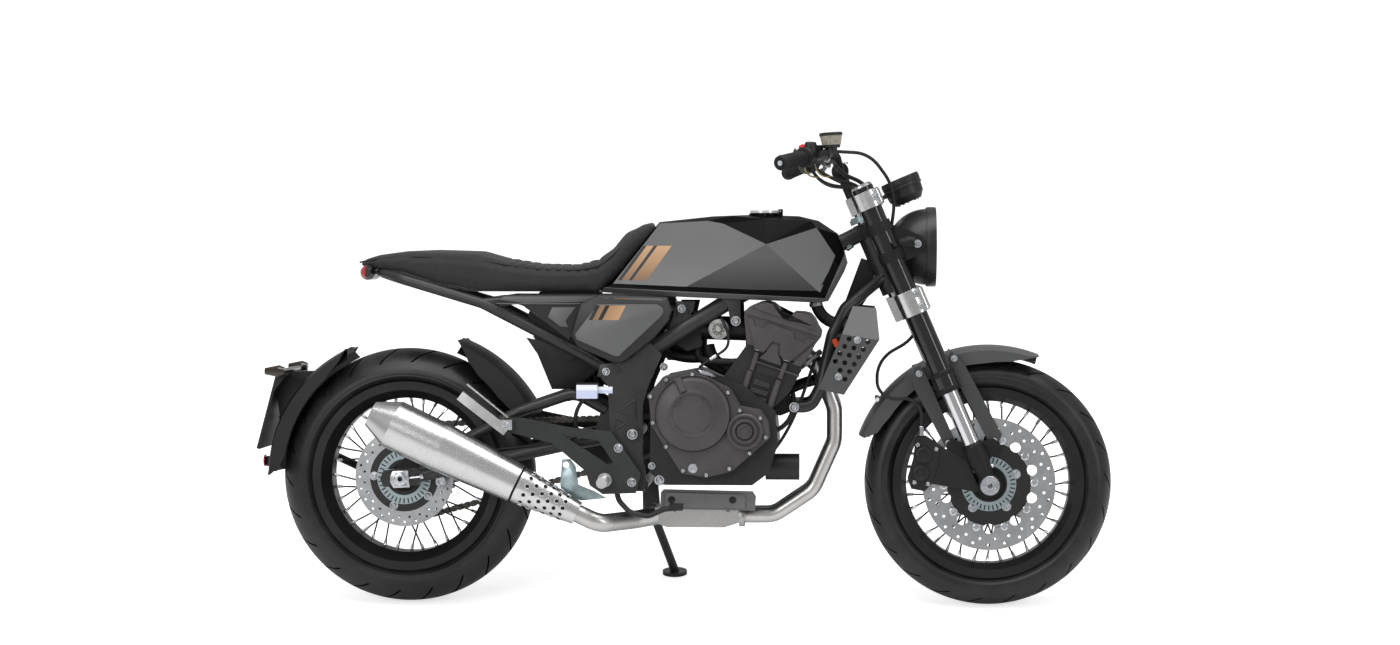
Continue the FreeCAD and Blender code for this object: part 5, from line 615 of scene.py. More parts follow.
# Throttle bodies and cables. Die-cast bodies on rubber stubs, with a zinc cable wheel on the
# right; black sheathed cables run from it and from the clutch arm, clipped at both ends.
def cables(name, runs, material, body):
    """Round cables along smooth lines through points, each held at both its ends."""
    data = bpy.data.curves.new(name, "CURVE")
    data.dimensions = "3D"
    data.bevel_depth = 0.001
    data.bevel_resolution = 3
    data.use_fill_caps = True
    for radius, points in runs:
        line = data.splines.new("NURBS")
        line.points.add(len(points) - 1)
        for spot, point in zip(line.points, points):
            spot.co = (*machine(*point), 1)
            spot.radius = radius
        line.order_u = 4
        line.use_endpoint_u = True
        line.resolution_u = 6
    data.materials.append(material)
    thing = shown(bpy.data.objects.new(name, data))
    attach(thing, body)


zinc_dull = finish("dull_zinc", (0.40, 0.40, 0.39), 0.42, metallic=0.9, relief=0.35, fineness=800,
                   patches=0.3, patch_size=60)
cable_black = finish("cable_sheath", 0.014, 0.5, specular=0.3, relief=0.1, patches=0.2)
dress(case_black, "throttle_bodies")
WHEEL = Vector((768, 0, 674))
piece("throttle_wheel", zinc_dull, "frame", [
    lathe([(0, 0), (0, 24), (3, 25), (6, 21.5), (9, 21.5), (12, 25), (15, 24), (15, 15), (9, 13), (9, 9),
           (16, 8), (18, 6), (18, 0)], 36, WHEEL + Vector((0, -100, 0)), RIGHT),
    [bar(WHEEL + polar(9, angle, -111), WHEEL + polar(20, angle, -114.5), 1.6, 8) for angle in turns(9)]])
cables("engine_cables", [
    (3.4, [(722, -134, 583), (756, -134, 607), (783, -134, 622), (796, -130, 640), (790, -126, 676),
           (774, -112, 700)]),
    (3, [(728, -150, 576), (700, -140, 566), (660, -120, 552), (622, -110, 540), (596, -104, 520)]),
    (9, [(846, -100, 606), (812, -104, 590), (776, -108, 600), (748, -100, 592), (724, -80, 600)]),
    (6, [(880, -96, 420), (936, -96, 432), (956, -90, 470), (946, -84, 520)]),
    (4, [(900, -92, 380), (950, -88, 440), (972, -84, 520), (1000, -80, 600)])], cable_black, "frame")
piece("cable_seats", zinc, "frame", [
    plate([(721.7, 579.1), (729, 566.9), (763.1, 562), (755.8, 569.3), (733.9, 576.6)], 3, -172, 0.6),
    bar((748, -134, 601.5), (764, -134, 611.5), 5.6, 12), bar((731, -172, 572), (731, -150, 578), 3.6, 10),
    bolt((755, -173.5, 565.5), RIGHT, 4.2, 4)])
cables("intake_pipes", [
    (15, [(740, -52, 634), (746, -56, 606), (764, -58, 588), (792, -58, 576), (826, -58, 558)]),
    (10, [(716, -56, 632), (712, -58, 612), (726, -60, 596), (748, -60, 584), (790, -58, 566)]),
    (13, [(636, -40, 618), (660, -44, 606), (690, -46, 600), (724, -48, 604)])], matt_black, "frame")
piece("air_box_foot", matt_black, "frame",
      [plate([(630, 652), (628, 610), (640, 596), (722, 592), (732, 604), (734, 652)], 70, 0, 6)])

# Radiator, guards and hoses. A black brazed aluminium core of fine fins between side tanks,
# under folded, punched steel guards in satin grey, each on two bright bolts.
space_group, given, handed = new_group(
    "machine_space", [], [("Place", "NodeSocketVector"), ("Normal", "NodeSocketVector")])
coordinates = put(space_group, "TexCoord").outputs
upright = put(space_group, "Mapping", {"Vector": coordinates["Object"], "Location": FOOT,
                                       "Rotation": (-LEAN, 0, 0), "Scale": (SCALE, SCALE, SCALE)},
              vector_type="TEXTURE")
space_group.links.new(upright.outputs[0], handed["Place"])
level = put(space_group, "VectorRotate", {"Vector": coordinates["Normal"], "Axis": (1, 0, 0), "Angle": LEAN})
space_group.links.new(level.outputs[0], handed["Normal"])


def in_machine(tree, what="Place"):
    """The x, y and z of a place in the upright machine's millimetres, or of its normal."""
    return put(tree, "SeparateXYZ", {0: put(tree, "Group", node_tree=space_group).outputs[what]}).outputs


def slope(tree, parts, over_x, over_z, offset=0):
    """The sum over_x * x + over_z * z + offset of a place's parts, in millimetres."""
    return figure(tree, "ADD", figure(tree, "MULTIPLY", parts[0], over_x),
                  figure(tree, "MULTIPLY_ADD", parts[2], over_z, offset))


def painted(name, roughness, specular=0.3, relief=0.08):
    """A paint whose colour is set afterwards: the material, its tree and its surface's inputs."""
    material, tree = new_material(name)
    grain = put(tree, "Group", {"Fineness": 1500}, node_tree=grain_group).outputs
    edges = put(tree, "Group", {"Radius": 0.0012}, node_tree=edge_group).outputs
    surface = surfaced(tree, {
        "Roughness": ramp(tree, grain["Patches"], 0, 1, roughness - 0.03, roughness + 0.05),
        "Specular IOR Level": specular,
        "Normal": bump(tree, relief, 0.0003, grain["Height"], edges)})
    return material, tree, surface.inputs


fins, tree = new_material("radiator_fins")
parts = in_machine(tree)
across = figure(tree, "SINE", figure(tree, "MULTIPLY", parts[1], 2.6))
rows = figure(tree, "SINE", figure(tree, "MULTIPLY", slope(tree, parts, -0.342, 0.94), 0.72))
depth = figure(tree, "MAXIMUM", figure(tree, "MULTIPLY", across, 0.6),
               figure(tree, "GREATER_THAN", rows, 0.55))
# Painted shade: the colour follows the fin relief, near black in the low gaps between the fins and lighter on
# the raised fins.
surfaced(tree, {
    "Base Color": blend(tree, figure(tree, "MAXIMUM", depth, 0), 0.006, (0.035, 0.035, 0.036)),
    "Roughness": 0.45, "Specular IOR Level": 0.3,
    "Normal": bump(tree, 0.8, 0.0012, depth)})
dress(fins, "radiator")

guard_grey, tree, surface = painted("guard_paint", 0.42, specular=0.25, relief=0.2)
# Painted light: the guard is lighter above its fold line and darker below it, standing in for the bent upper
# face turned toward the light.
painted_light_above_fold = ramp(tree, slope(tree, in_machine(tree), 0.158, 0.987, -823.3), -1.2, 1.2)
tree.links.new(blend(tree, painted_light_above_fold, (0.070, 0.071, 0.072), (0.165, 0.166, 0.168)), surface["Base Color"])
dress(guard_grey, "radiator_guards")
piece("guard_bolts", zinc, "frame", side_bolts(((1056.6, 561.6), (1102, 649.4)), 150.4, 6.2, 6, 9))
piece("guard_folds", guard_grey, "frame",
      [bead([(1067.5, 663.2), (1152.4, 649.6)], sign * 148.6, 1.3) for sign in SIDES])
cables("radiator_hoses", [
    (15, [(1000, -62, 742), (1008, -62, 714), (1030, -62, 690), (1062, -64, 684), (1088, -70, 676)]),
    (14, [(1050, 70, 566), (1020, 84, 548), (975, 80, 540), (930, 76, 520), (900, 70, 500)])],
    matt_black, "frame")
piece("hose_clips", zinc_dull, "frame", [
    lathe([(0, 15.2), (0, 16.2), (9, 16.2), (9, 15.2)], 24, base, axis)
    for base, axis in (((1052, -63, 686), (1, 0, -0.12)), ((1001, -62, 738), (0.2, 0, -1)))])


# Exhaust. Brushed stainless headers run into a box under the engine and a raised silencer
# with a perforated front cone; a folded grey shield covers the box.
def brushed(name, colour, roughness, along, fineness, contrast):
    """Bare metal brushed in one direction."""
    material, tree = new_material(name)
    lain = put(tree, "Mapping", {"Vector": put(tree, "TexCoord").outputs["Object"],
                                 "Rotation": Vector(along).to_track_quat("X", "Z").to_euler()},
               vector_type="TEXTURE")
    drawn = put(tree, "VectorMath", {0: lain, 1: (0.06, 1, 1)}, operation="MULTIPLY")
    streaks = put(tree, "TexNoise", {"Vector": drawn, "Scale": fineness, "Detail": 3})
    grain = put(tree, "Group", {"Patch Size": 12}, node_tree=grain_group).outputs
    edges = put(tree, "Group", {"Radius": 0.0008}, node_tree=edge_group).outputs
    share = ramp(tree, streaks, 0.3, 0.7)
    tone = blend(tree, share, shaded(colour, 1 - contrast), shaded(colour, 1 + contrast * 0.4))
    cloud = blend(tree, grain["Patches"], shaded(colour, 0.82), shaded(colour, 1.08))
    surfaced(tree, {
        "Base Color": blend(tree, 0.4, tone, cloud), "Metallic": 1,
        "Roughness": ramp(tree, share, 0, 1, roughness - 0.05, roughness + 0.07),
        "Normal": bump(tree, 0.08, 0.0003, streaks, edges)})
    return material


def on_muffler(along, radius=0, angle=0):
    """A point round the silencer's line, its angle counted from the outer side upward, and its way out."""
    side = (Vector(RIGHT) - muffler_way * muffler_way.dot(Vector(RIGHT))).normalized()
    way = side * math.cos(angle) + muffler_way.cross(side) * math.sin(angle)
    return muffler_front + muffler_way * along + way * radius, way


muffler_front = Vector((432, -200, 237))
muffler_way = (Vector((-60, -214, 474)) - muffler_front).normalized()
muffler_steel = brushed("muffler_stainless", 0.70, 0.27, STANCE.to_3x3() @ muffler_way, 1800, 0.22)
shield_grey = finish("shield_paint", (0.135, 0.135, 0.136), 0.4, specular=0.3, relief=0.2, wear=0.3)
# A near-black used for soot and for painted shade in the silencer's holes and outlet.
soot_and_hole_shade = finish("exhaust_soot_and_hole_shade", 0.008, 0.7, specular=0.2, relief=0.4, patches=0.4)
blue_zinc = finish("blue_zinc", (0.34, 0.42, 0.44), 0.34, metallic=0.9, relief=0.2, patches=0.3,
                   patch_size=30)
dress(brushed("pipe_stainless", (0.60, 0.59, 0.58), 0.30, (0, 0.98, -0.17), 720, 0.18), "exhaust_pipes")
dress(muffler_steel, "muffler")
dress(shield_grey, "exhaust_heat_shield")
piece("shield_pressing", shield_grey, "frame", [
    plate([(636, 242), (637, 272), (642, 279), (826, 275), (834, 266), (832, 240)], 5, -103.5, 2.2)])
piece("shield_bolts", case_black, "frame", [[
    lathe([(0, 8.6), (1.6, 8.6), (2.2, 7.6), (1, 6.8), (1, 0)], 20, (x, -105.6, 260.8), RIGHT),
    bolt((x, -105.8, 260.8), RIGHT, 5, 2.6)] for x in (653.8, 801.8)])
COLLAR = [(0, 22.6), (0, 24.4), (1.5, 25), (13, 25), (14.5, 24.4), (14.5, 22.6)]
piece("pipe_joints", zinc_dull, "frame", [
    lathe(COLLAR, 40, (816, -71, 219), (1, 0, 0)), lathe(COLLAR, 40, (612, -44, 221), (-1, 0, 0)),
    [lathe([(0, 0), (0, 30), (2, 31.5), (9, 31.5), (11, 30), (11, 0)], 32, (986, sign * 46, 602.5),
           (0.62, 0, -0.78)) for sign in SIDES]])
spots = []
for row in range(6):
    along = 34 + row * 19.5
    spots += [on_muffler(along, 31 + (along - 20) / 130 * 14, angle) for angle in turns(12, 15 * (row % 2))]
# The perforations are not cut: each hole is a dark disc, painted shade for the dark inside seen through it.
# The outlet's inner cup is dark with soot and painted shade; the thin ring at 155 is a dark seam line.
piece("muffler_holes", soot_and_hole_shade, "frame", [
    [lathe([(-1.5, 4.9), (0.55, 4.9), (0.55, 0)], 12, *spot) for spot in spots],
    lathe([(0, 0), (0, 23.9), (56, 23.9), (56, 23.2), (2, 23.2), (2, 0)], 32, on_muffler(487.8072)[0],
          muffler_way),
    lathe([(0, 44), (0, 47.6), (5, 47.9), (5, 44)], 64, on_muffler(155)[0], muffler_way)])
piece("muffler_hole_rims", muffler_steel, "frame",
      [lathe([(-1, 6.4), (0.9, 6), (1.1, 5.4), (0.7, 4.8)], 12, *spot) for spot in spots])
piece("muffler_bracket", blue_zinc, "frame", [
    plate([(392, 362), (412, 362), (425, 345), (432, 300), (470, 285), (500, 268), (440, 262), (396, 270),
           (388, 300)], 5, -150, 1, ((402, 348, 8),))])

# Fuel tank. Pressed steel with flat facets in satin grey, black above and below them, a
# grey seam lip and four slanted stripes, under a polished hinged filler cap.
tank_paint, tree, surface = painted("tank_paint", 0.34, relief=0.03)
parts, normal = in_machine(tree), in_machine(tree, "Normal")
height = parts[2]
mirrored = put(tree, "CombineXYZ", {0: normal[0], 1: figure(tree, "ABSOLUTE", normal[1]), 2: normal[2]})


def on_facet(*corners):
    """One where the tank's paint faces as the flat facet through three corners does, on either side."""
    first, second, third = [Vector(corner) for corner in corners]
    way = (second - first).cross(third - first).normalized()
    turn = put(tree, "VectorMath", {0: mirrored, 1: way if way.y > 0 else -way}, operation="DOT_PRODUCT")
    return ramp(tree, turn.outputs["Value"], 0.9985, 0.9993)


def band(value, low, high):
    """One between two values."""
    return figure(tree, "MULTIPLY", figure(tree, "GREATER_THAN", value, low),
                  figure(tree, "LESS_THAN", value, high))


def striped(colour, slant, zone, stripes):
    """A colour with slanted stripes over it in a zone, from (low edge, high edge, ink) rows."""
    for low, high, ink in stripes:
        colour = blend(tree, figure(tree, "MULTIPLY", band(slant, low, high), zone), colour, ink)
    return colour


BLACK_PAINT = 0.0022
LIP_GREY = (0.092, 0.093, 0.094)
SHOULDER_POINT, NOSE = (883, 126, 879), (1006, 121.8, 767)
upper_facet = on_facet((512, 106.4, 784), SHOULDER_POINT, (740, 67.2, 936))
lower_facet = on_facet((692, 145.1, 777), SHOULDER_POINT, NOSE)
past_brow = slope(tree, parts, 0.831, 0.5565, -1345.2)
past_nose = slope(tree, parts, 0.925, -0.378, -648.2)
nose_facet = figure(tree, "MULTIPLY", on_facet(SHOULDER_POINT, NOSE, (1003, 70, 919)),
                    figure(tree, "LESS_THAN", figure(tree, "MAXIMUM", past_brow, past_nose), 0))
under = figure(tree, "LESS_THAN", slope(tree, parts, 0.0483, 1, -798.6), 0)
ahead_of = figure(tree, "GREATER_THAN", slope(tree, parts, 0.914, -0.405, -632.5), 0)
lip = figure(tree, "MAXIMUM", under, figure(tree, "MULTIPLY", ahead_of,
                                            figure(tree, "LESS_THAN", height, 856)))
grey_share = lip
colour = BLACK_PAINT
for share, tone in (
        (upper_facet, blend(tree, ramp(tree, height, 765, 880), (0.105, 0.106, 0.106),
                            (0.075, 0.076, 0.077))),
        (lower_facet, blend(tree, ramp(tree, height, 774, 850), 0.04, LIP_GREY)),
        (nose_facet, (0.110, 0.111, 0.112)), (lip, LIP_GREY)):
    colour = blend(tree, share, colour, tone)
    grey_share = figure(tree, "MAXIMUM", grey_share, share)
tree.links.new(ramp(tree, grey_share, 0, 1, 0.05, 0.28), surface["Specular IOR Level"])
bronze = blend(tree, ramp(tree, height, 791.8, 875.4), (0.16, 0.085, 0.038), (0.40, 0.235, 0.115))
colour = striped(
    colour, slope(tree, parts, 0.817, -0.576), figure(tree, "MULTIPLY", band(height, 791.8, 875.4),
                                                      upper_facet),
    ((-28.6, -21.3, BLACK_PAINT), (-21.3, -7.1, bronze), (-6.4, -0.1, BLACK_PAINT), (0.5, 29.1, bronze)))
tree.links.new(colour, surface["Base Color"])
dress(tank_paint, "fuel_tank")
dress(finish("polished_cap", (0.72, 0.72, 0.73), 0.22, metallic=0.35, relief=0.03, patches=0.06),
      "filler_cap")
piece("cap_edge", gloss_black, "filler_cap", [
    lathe([(0, 30), (0, 34.4), (0.4, 34.8), (1.2, 34.8), (1.6, 34.4), (1.6, 30)], 48, (874, 0, 954.6), UP)])
piece("tank_stay", frame_black, "frame", side_plates(
    ([(1050, 898), (1062, 904), (1090, 890), (1094, 872), (1080, 862), (1062, 872)], 4, 36, 0.8)))
piece("tank_stay_bolts", blue_zinc, "frame", side_bolts(((1078, 878),), 38, 7.4, 6, 11))

# Seat. A moulded foam pad under a charcoal woven cover, with sewn cross channels ahead of
# the passenger's place and a black piping cord along the edge of its top.
seat_cloth, tree = new_material("seat_cloth")
place = put(tree, "Group", node_tree=space_group).outputs["Place"]
fleck = put(tree, "TexVoronoi", {"Vector": place, "Scale": 0.62}, feature="F1").outputs["Distance"]
yarn = put(tree, "TexNoise", {"Vector": place, "Scale": 0.9, "Detail": 4, "Roughness": 0.7})
cloud = put(tree, "TexNoise", {"Vector": place, "Scale": 0.012, "Detail": 3})
tone = blend(tree, ramp(tree, yarn, 0.42, 0.62), (0.009, 0.0085, 0.009), (0.040, 0.036, 0.036))
surfaced(tree, {
    "Base Color": blend(tree, ramp(tree, cloud, 0.35, 0.65, 0, 0.45), tone, (0.018, 0.016, 0.016)),
    "Roughness": 0.72, "Specular IOR Level": 0.25, "Sheen Weight": 0.12,
    "Normal": bump(tree, 0.55, 0.0006, figure(tree, "ADD", fleck, yarn))})


def evaluated(thing):
    """Replace a piece's mesh by what its modifiers make of it."""
    bpy.context.view_layer.update()
    made = bpy.data.meshes.new_from_object(thing.evaluated_get(bpy.context.evaluated_depsgraph_get()))
    thing.modifiers.clear()
    thing.data = made


TUCK = 0.965
PAN_HEIGHT = 766
SWELL = 0.005
FOAM_FRAMES = 20
seat_shape = bmesh.new()
seat_shape.from_mesh(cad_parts["seat"].data)
bmesh.ops.remove_doubles(seat_shape, verts=seat_shape.verts, dist=0.00005)
bmesh.ops.transform(seat_shape, matrix=UPRIGHT, verts=seat_shape.verts)
for vert in seat_shape.verts:
    vert.co.y *= TUCK
    if vert.co.x < 470:
        vert.co.z = PAN_HEIGHT + (vert.co.z - PAN_HEIGHT) * TUCK
bmesh.ops.transform(seat_shape, matrix=STANCE, verts=seat_shape.verts)
seat_mesh = bpy.data.meshes.new("seat_cushion")
seat_shape.to_mesh(seat_mesh)
seat_shape.free()
seat_mesh.materials.append(seat_cloth)
seat = shown(bpy.data.objects.new("seat_cushion", seat_mesh))
bpy.context.view_layer.objects.active = seat
remesh = seat.modifiers.new("even_mesh", "REMESH")
remesh.mode = "VOXEL"
remesh.voxel_size = 0.006
evaluated(seat)
rest = [vert.co.copy() for vert in seat.data.vertices]
swelling = seat.modifiers.new("foam", "CLOTH")
swelling.settings.use_pressure = True
swelling.settings.uniform_pressure_force = 4
swelling.settings.effector_weights.gravity = 0
swelling.settings.quality = 4
swelling.point_cache.frame_start = 1
swelling.point_cache.frame_end = FOAM_FRAMES
for moment in range(1, FOAM_FRAMES + 1):
    bpy.context.scene.frame_set(moment)
evaluated(seat)
bpy.context.scene.frame_set(1)
for vert, start in zip(seat.data.vertices, rest):
    step = vert.co - start
    if step.length > SWELL:
        vert.co = start + step.normalized() * SWELL
rounded_off = seat.modifiers.new("one_subdivision", "SUBSURF")
rounded_off.levels = 1
rounded_off.render_levels = 1
evaluated(seat)
sewn = bmesh.new()
sewn.from_mesh(seat.data)
bmesh.ops.transform(sewn, matrix=UPRIGHT, verts=sewn.verts)
sewn.normal_update()
for vert in sewn.verts:
    upward = vert.normal.z - 0.25 * vert.normal.x
    if upward > 0.45 and vert.co.z > 800 and 240 < vert.co.x < 500:
        share = min(1, (upward - 0.45) / 0.25) * max(0, min(1, (104 - abs(vert.co.y)) / 12))
        place = vert.co.x + (6 if vert.co.x > 430 else 0)
        nearest = min(abs(place - (252 + 25 * number)) for number in range(10))
        vert.co.z -= 4.2 * share * math.exp(-((nearest / 4) ** 2))
    if vert.co.z < 770.5 and 90 < vert.co.x < 470:
        vert.co.z = max(vert.co.z, 764.4)
bmesh.ops.transform(sewn, matrix=STANCE, verts=sewn.verts)
bmesh.ops.recalc_face_normals(sewn, faces=sewn.faces)
sewn.to_mesh(seat.data)
sewn.free()
seat.data.shade_smooth()
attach(seat, "frame")
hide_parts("seat")

SEAT_EDGE = [(-118, 835, 0.30), (-70, 846, 0.60), (0, 849, 0.83), (80, 848, 0.95), (184, 843, 0.99),
             (240, 830, 0.99), (330, 818, 0.965), (420, 815, 0.92), (474, 824, 0.88), (500, 842, 0.85),
             (532, 876, 0.80), (572, 920, 0.66)]
bpy.context.view_layer.update()
piping = []
for sign in SIDES:
    run = []
    for x, z, share in SEAT_EDGE:
        start = machine(x, sign * 200, z)
        hit, spot, *_ = seat.ray_cast(start, (machine(x, 0, z) - start).normalized())
        place = UPRIGHT @ spot if hit else Vector((x, sign * 122 * share, z))
        run.append((place.x, place.y + sign * 0.6, place.z))
    piping.append((2.1, run))
cables("seat_piping", piping, cable_black, "frame")

# Side panels, tray and tail. Moulded plastic: raised satin grey panels with a dark bevel
# round them, slanted stripes, a black tray and a ribbed red lens in a black housing.
dress(finish("tray_plastic", 0.012, 0.5, specular=0.3, relief=0.4, fineness=1200), "under_seat_tray")
panel_dark, tree, surface = painted("panel_bevel_paint", 0.4)
# Painted light: the dark bevel round the panels is lighter toward its top and darker below, as light from
# above would fall on it.
painted_top_light = ramp(tree, slope(tree, in_machine(tree), 0.3, 0.95, -850), -60, 60)
tree.links.new(blend(tree, painted_top_light, (0.022, 0.022, 0.023), (0.045, 0.046, 0.046)), surface["Base Color"])
panel_grey, tree, surface = painted("panel_paint", 0.38)
parts = in_machine(tree)
colour = blend(tree, ramp(tree, parts[2], 600, 750), (0.118, 0.120, 0.120), (0.100, 0.101, 0.102))
slant = slope(tree, parts, 0.886, -0.463)
reach = ramp(tree, slant, 91.5, 146.8)
# The second band repeats the stripes on the top bevel strip at about a third of their brightness: painted
# shade for the bevel turned away from the light.
for low, high, depth in ((697.1, 731.9, 1), (738.6, 750.1, 0.36)):
    bronze = blend(tree, reach, shaded((0.20, 0.105, 0.045), depth), shaded((0.42, 0.25, 0.125), depth))
    colour = striped(colour, slant, band(parts[2], low, high), (
        (83.2, 91.5, BLACK_PAINT), (91.5, 103, bronze), (103, 112.2, BLACK_PAINT), (112.2, 146.8, bronze)))
tree.links.new(colour, surface["Base Color"])
OUTER = [(413.2, 658.1), (431.2, 630.1), (517.1, 594.1), (533.1, 592.9), (549.1, 600.1), (617, 654.1),
         (651, 696), (657.8, 720), (647, 752), (489.1, 758), (471.1, 752.8), (437.2, 736)]
PANEL = [(424.7, 663.2), (480.5, 735), (622.1, 735), (637.2, 725), (638.8, 715), (630.1, 703.1),
         (542.3, 621.3), (532, 611), (522.4, 609.4), (428.7, 650)]
piece("side_panels", panel_dark, "frame", side_plates(
    (OUTER, 22, 150.5, 9),
    ([(223, 753), (250, 757), (484, 757), (461, 728), (421, 670), (406, 648), (359, 684), (296, 730)], 9,
     126, 2)),
    ("side_covers",), 25)
piece("side_panel_faces", panel_grey, "frame", side_plates(
    (PANEL, 6, 162.4, 2.6),
    ([(476.5, 738.6), (492.5, 751), (634, 748.6), (640, 738.6)], 4, 159.4, 1),
    ([(356, 703.5), (367, 727), (424, 727), (399.5, 694.5), (405.5, 679), (387, 680.4)], 3, 131, 0.8),
    ([(238, 745), (250, 753), (470, 753), (458, 740), (300, 737)], 3, 131, 0.8)), (), 25)
piece("wing_beads", panel_grey, "frame",
      [bead([(232, 735.5), (436, 735.5)], sign * 131.5, 1.4) for sign in SIDES])

tail_red, tree = new_material("tail_lens_red")
parts = in_machine(tree)
ribs = figure(tree, "SINE", figure(tree, "MULTIPLY", parts[1], 1.6))
surfaced(tree, {
    "Base Color": blend(tree, figure(tree, "LESS_THAN", parts[0], -101), 0.01, (0.38, 0.008, 0.006)),
    "Roughness": 0.16, "Coat Weight": 0.5,
    "Normal": bump(tree, 0.4, 0.0008, ribs)})
dress(tail_red, "tail_light")

# Mudguards and indicators. Black injection-moulded guards over both wheels, painted grey
# in front on bolted stays; small smoked lamps on rubber stalks beside the blank plate board.
guard_plastic = finish("guard_plastic", 0.011, 0.46, specular=0.3, relief=0.35, fineness=1300, patches=0.2)
dress(guard_plastic, "rear_mudguard", "rear_hugger")
front_guard_paint, tree, surface = painted("front_guard_paint", 0.36)
on_stays = ramp(tree, figure(tree, "ABSOLUTE", in_machine(tree)[1]), 72, 74)
tree.links.new(blend(tree, on_stays, (0.070, 0.071, 0.072), (0.052, 0.053, 0.053)), surface["Base Color"])
dress(front_guard_paint, "front_mudguard")


def bent_guard(name, centre, crown, half, drops, material, body):
    """A guard bent round a wheel, with the depth of its skirt from (angle, depth) rows."""
    first, last = drops[0][0], drops[-1][0]
    shape = bmesh.new()
    section = [(half * share, crown - fall) for share, fall in (
        (-1, 30), (-1, 12), (-0.62, 3.5), (0, 0), (0.62, 3.5), (1, 12), (1, 30))]
    start = Matrix.Rotation(math.radians(90 - last), 3, "Y")
    verts = [shape.verts.new(start @ Vector((0, y, r))) for y, r in section]
    edges = [shape.edges.new(pair) for pair in zip(verts, verts[1:])]
    bmesh.ops.spin(shape, geom=verts + edges, cent=(0, 0, 0), axis=(0, 1, 0),
                   angle=math.radians(last - first), steps=40)
    for vert in shape.verts:
        angle = math.degrees(math.atan2(vert.co.z, vert.co.x))
        angle = max(first, min(last, angle if angle > -90 else angle + 360))
        for (low, before), (high, after) in zip(drops, drops[1:]):
            if low <= angle <= high:
                drop = before + (after - before) * (angle - low) / (high - low)
        reach = math.hypot(vert.co.x, vert.co.z)
        wanted = reach
        if abs(abs(vert.co.y) - half) < 0.01:
            wanted = crown - drop if reach < crown - 20 else crown - min(12, drop * 0.7)
        vert.co.x *= wanted / reach
        vert.co.z *= wanted / reach
    bmesh.ops.solidify(shape, geom=shape.faces, thickness=1.6)
    bmesh.ops.translate(shape, vec=centre, verts=shape.verts)
    piece(name, material, body, [shape], (), 40)


bent_guard("front_guard_shell", FRONT_AXLE, 333.4, 66, [
    (68.5, 3), (72, 16), (80, 34), (92, 42), (120, 44), (146, 46), (156, 38), (160, 14)],
    front_guard_paint, "steering")
bent_guard("rear_guard_shell", REAR_AXLE, 345.4, 86, [
    (115, 3), (120, 22), (130, 38), (150, 44), (170, 46), (176, 36), (179.5, 12)], guard_plastic, "frame")
bent_guard("hugger_shell", REAR_AXLE, 360.6, 88, [
    (25.5, 48), (40, 60), (54, 54), (61, 38), (66, 14), (68.5, 3)], guard_plastic, "frame")
piece("tray_skirts", guard_plastic, "frame", side_plates(
    ([(296, 652), (324, 611), (359, 526), (414, 526), (469, 571), (440, 622)], 3, 68, 0.8)))
piece("front_guard_bolts", zinc, "steering",
      side_bolts(((1335, 604), (1250.6, 566.7), (1432, 405), (1322, 399)), 91, 5.6, 5, 8))
dress(finish("smoked_lens", (0.020, 0.012, 0.006), 0.12, relief=0.05, coat=0.5), "rear_indicators")
piece("reflector_holder", guard_plastic, "frame", [
    bar((-336, 0, 352), (-352, 0, 344), 5, 12),
    lathe([(-14, 0), (-14, 7), (-10, 10), (8, 10), (11, 7), (11, 0)], 24, (-352, 0, 344), UP)])
piece("rear_reflector", finish("reflector_red", (0.30, 0.006, 0.006), 0.2, relief=0.3, fineness=300),
      "frame",
      [lathe([(0, 0), (0, 15), (2, 15), (3.4, 13), (3.4, 0)], 28, (-361.6, 0, 344), (-1, 0, 0))])

# Footrests and pedals. Cast hangers with a rough black coat carry forged steel pegs, a pair
# of grooved passenger bars and black pedals, all on bright bolts.
peg_metal = finish("peg_alloy", 0.52, 0.36, metallic=1, relief=0.4, fineness=500, patches=0.25)
dress(finish("hanger_coat", (0.026, 0.030, 0.027), 0.55, specular=0.3, relief=1, fineness=650, patches=0.2,
             wear=0.3), "footpeg_hangers")
dress(case_black, "foot_pedals")
dress(peg_metal, "footpegs")
piece("hanger_bolts", zinc, "frame", [
    side_bolts(((530, 390), (562, 308)), 169.5, 8, 6, 11), side_bolts(((262, 446),), 190, 7, 6, 10)])
fold_from, fold_to = Vector((262, 0, 452)), Vector((158, 0, 536))
fold_way = (fold_to - fold_from).normalized()
peg_grips = []
for sign in SIDES:
    for number in range(4):
        aside = Vector((10, sign * (183 + number * 4.6), 8))
        peg_grips.append(bar(fold_from + fold_way * 6 + aside, fold_to + aside, 1.7, 8))
    peg_grips += [lathe([(0, 0), (0, 12.4), (1.2, 13.4), (4.2, 13.4), (5.4, 12.4), (5.4, 0)], 20,
                        (498, sign * (196 + number * 11), 314), (0, sign, 0)) for number in range(7)]
piece("peg_grips", peg_metal, "frame", peg_grips)
piece("wiring_connector", finish("connector_orange", (0.62, 0.07, 0.02), 0.4, specular=0.3, relief=0.2),
      "frame", [bar((1046, -98, 650), (1054, -98, 632), 7, 6)])

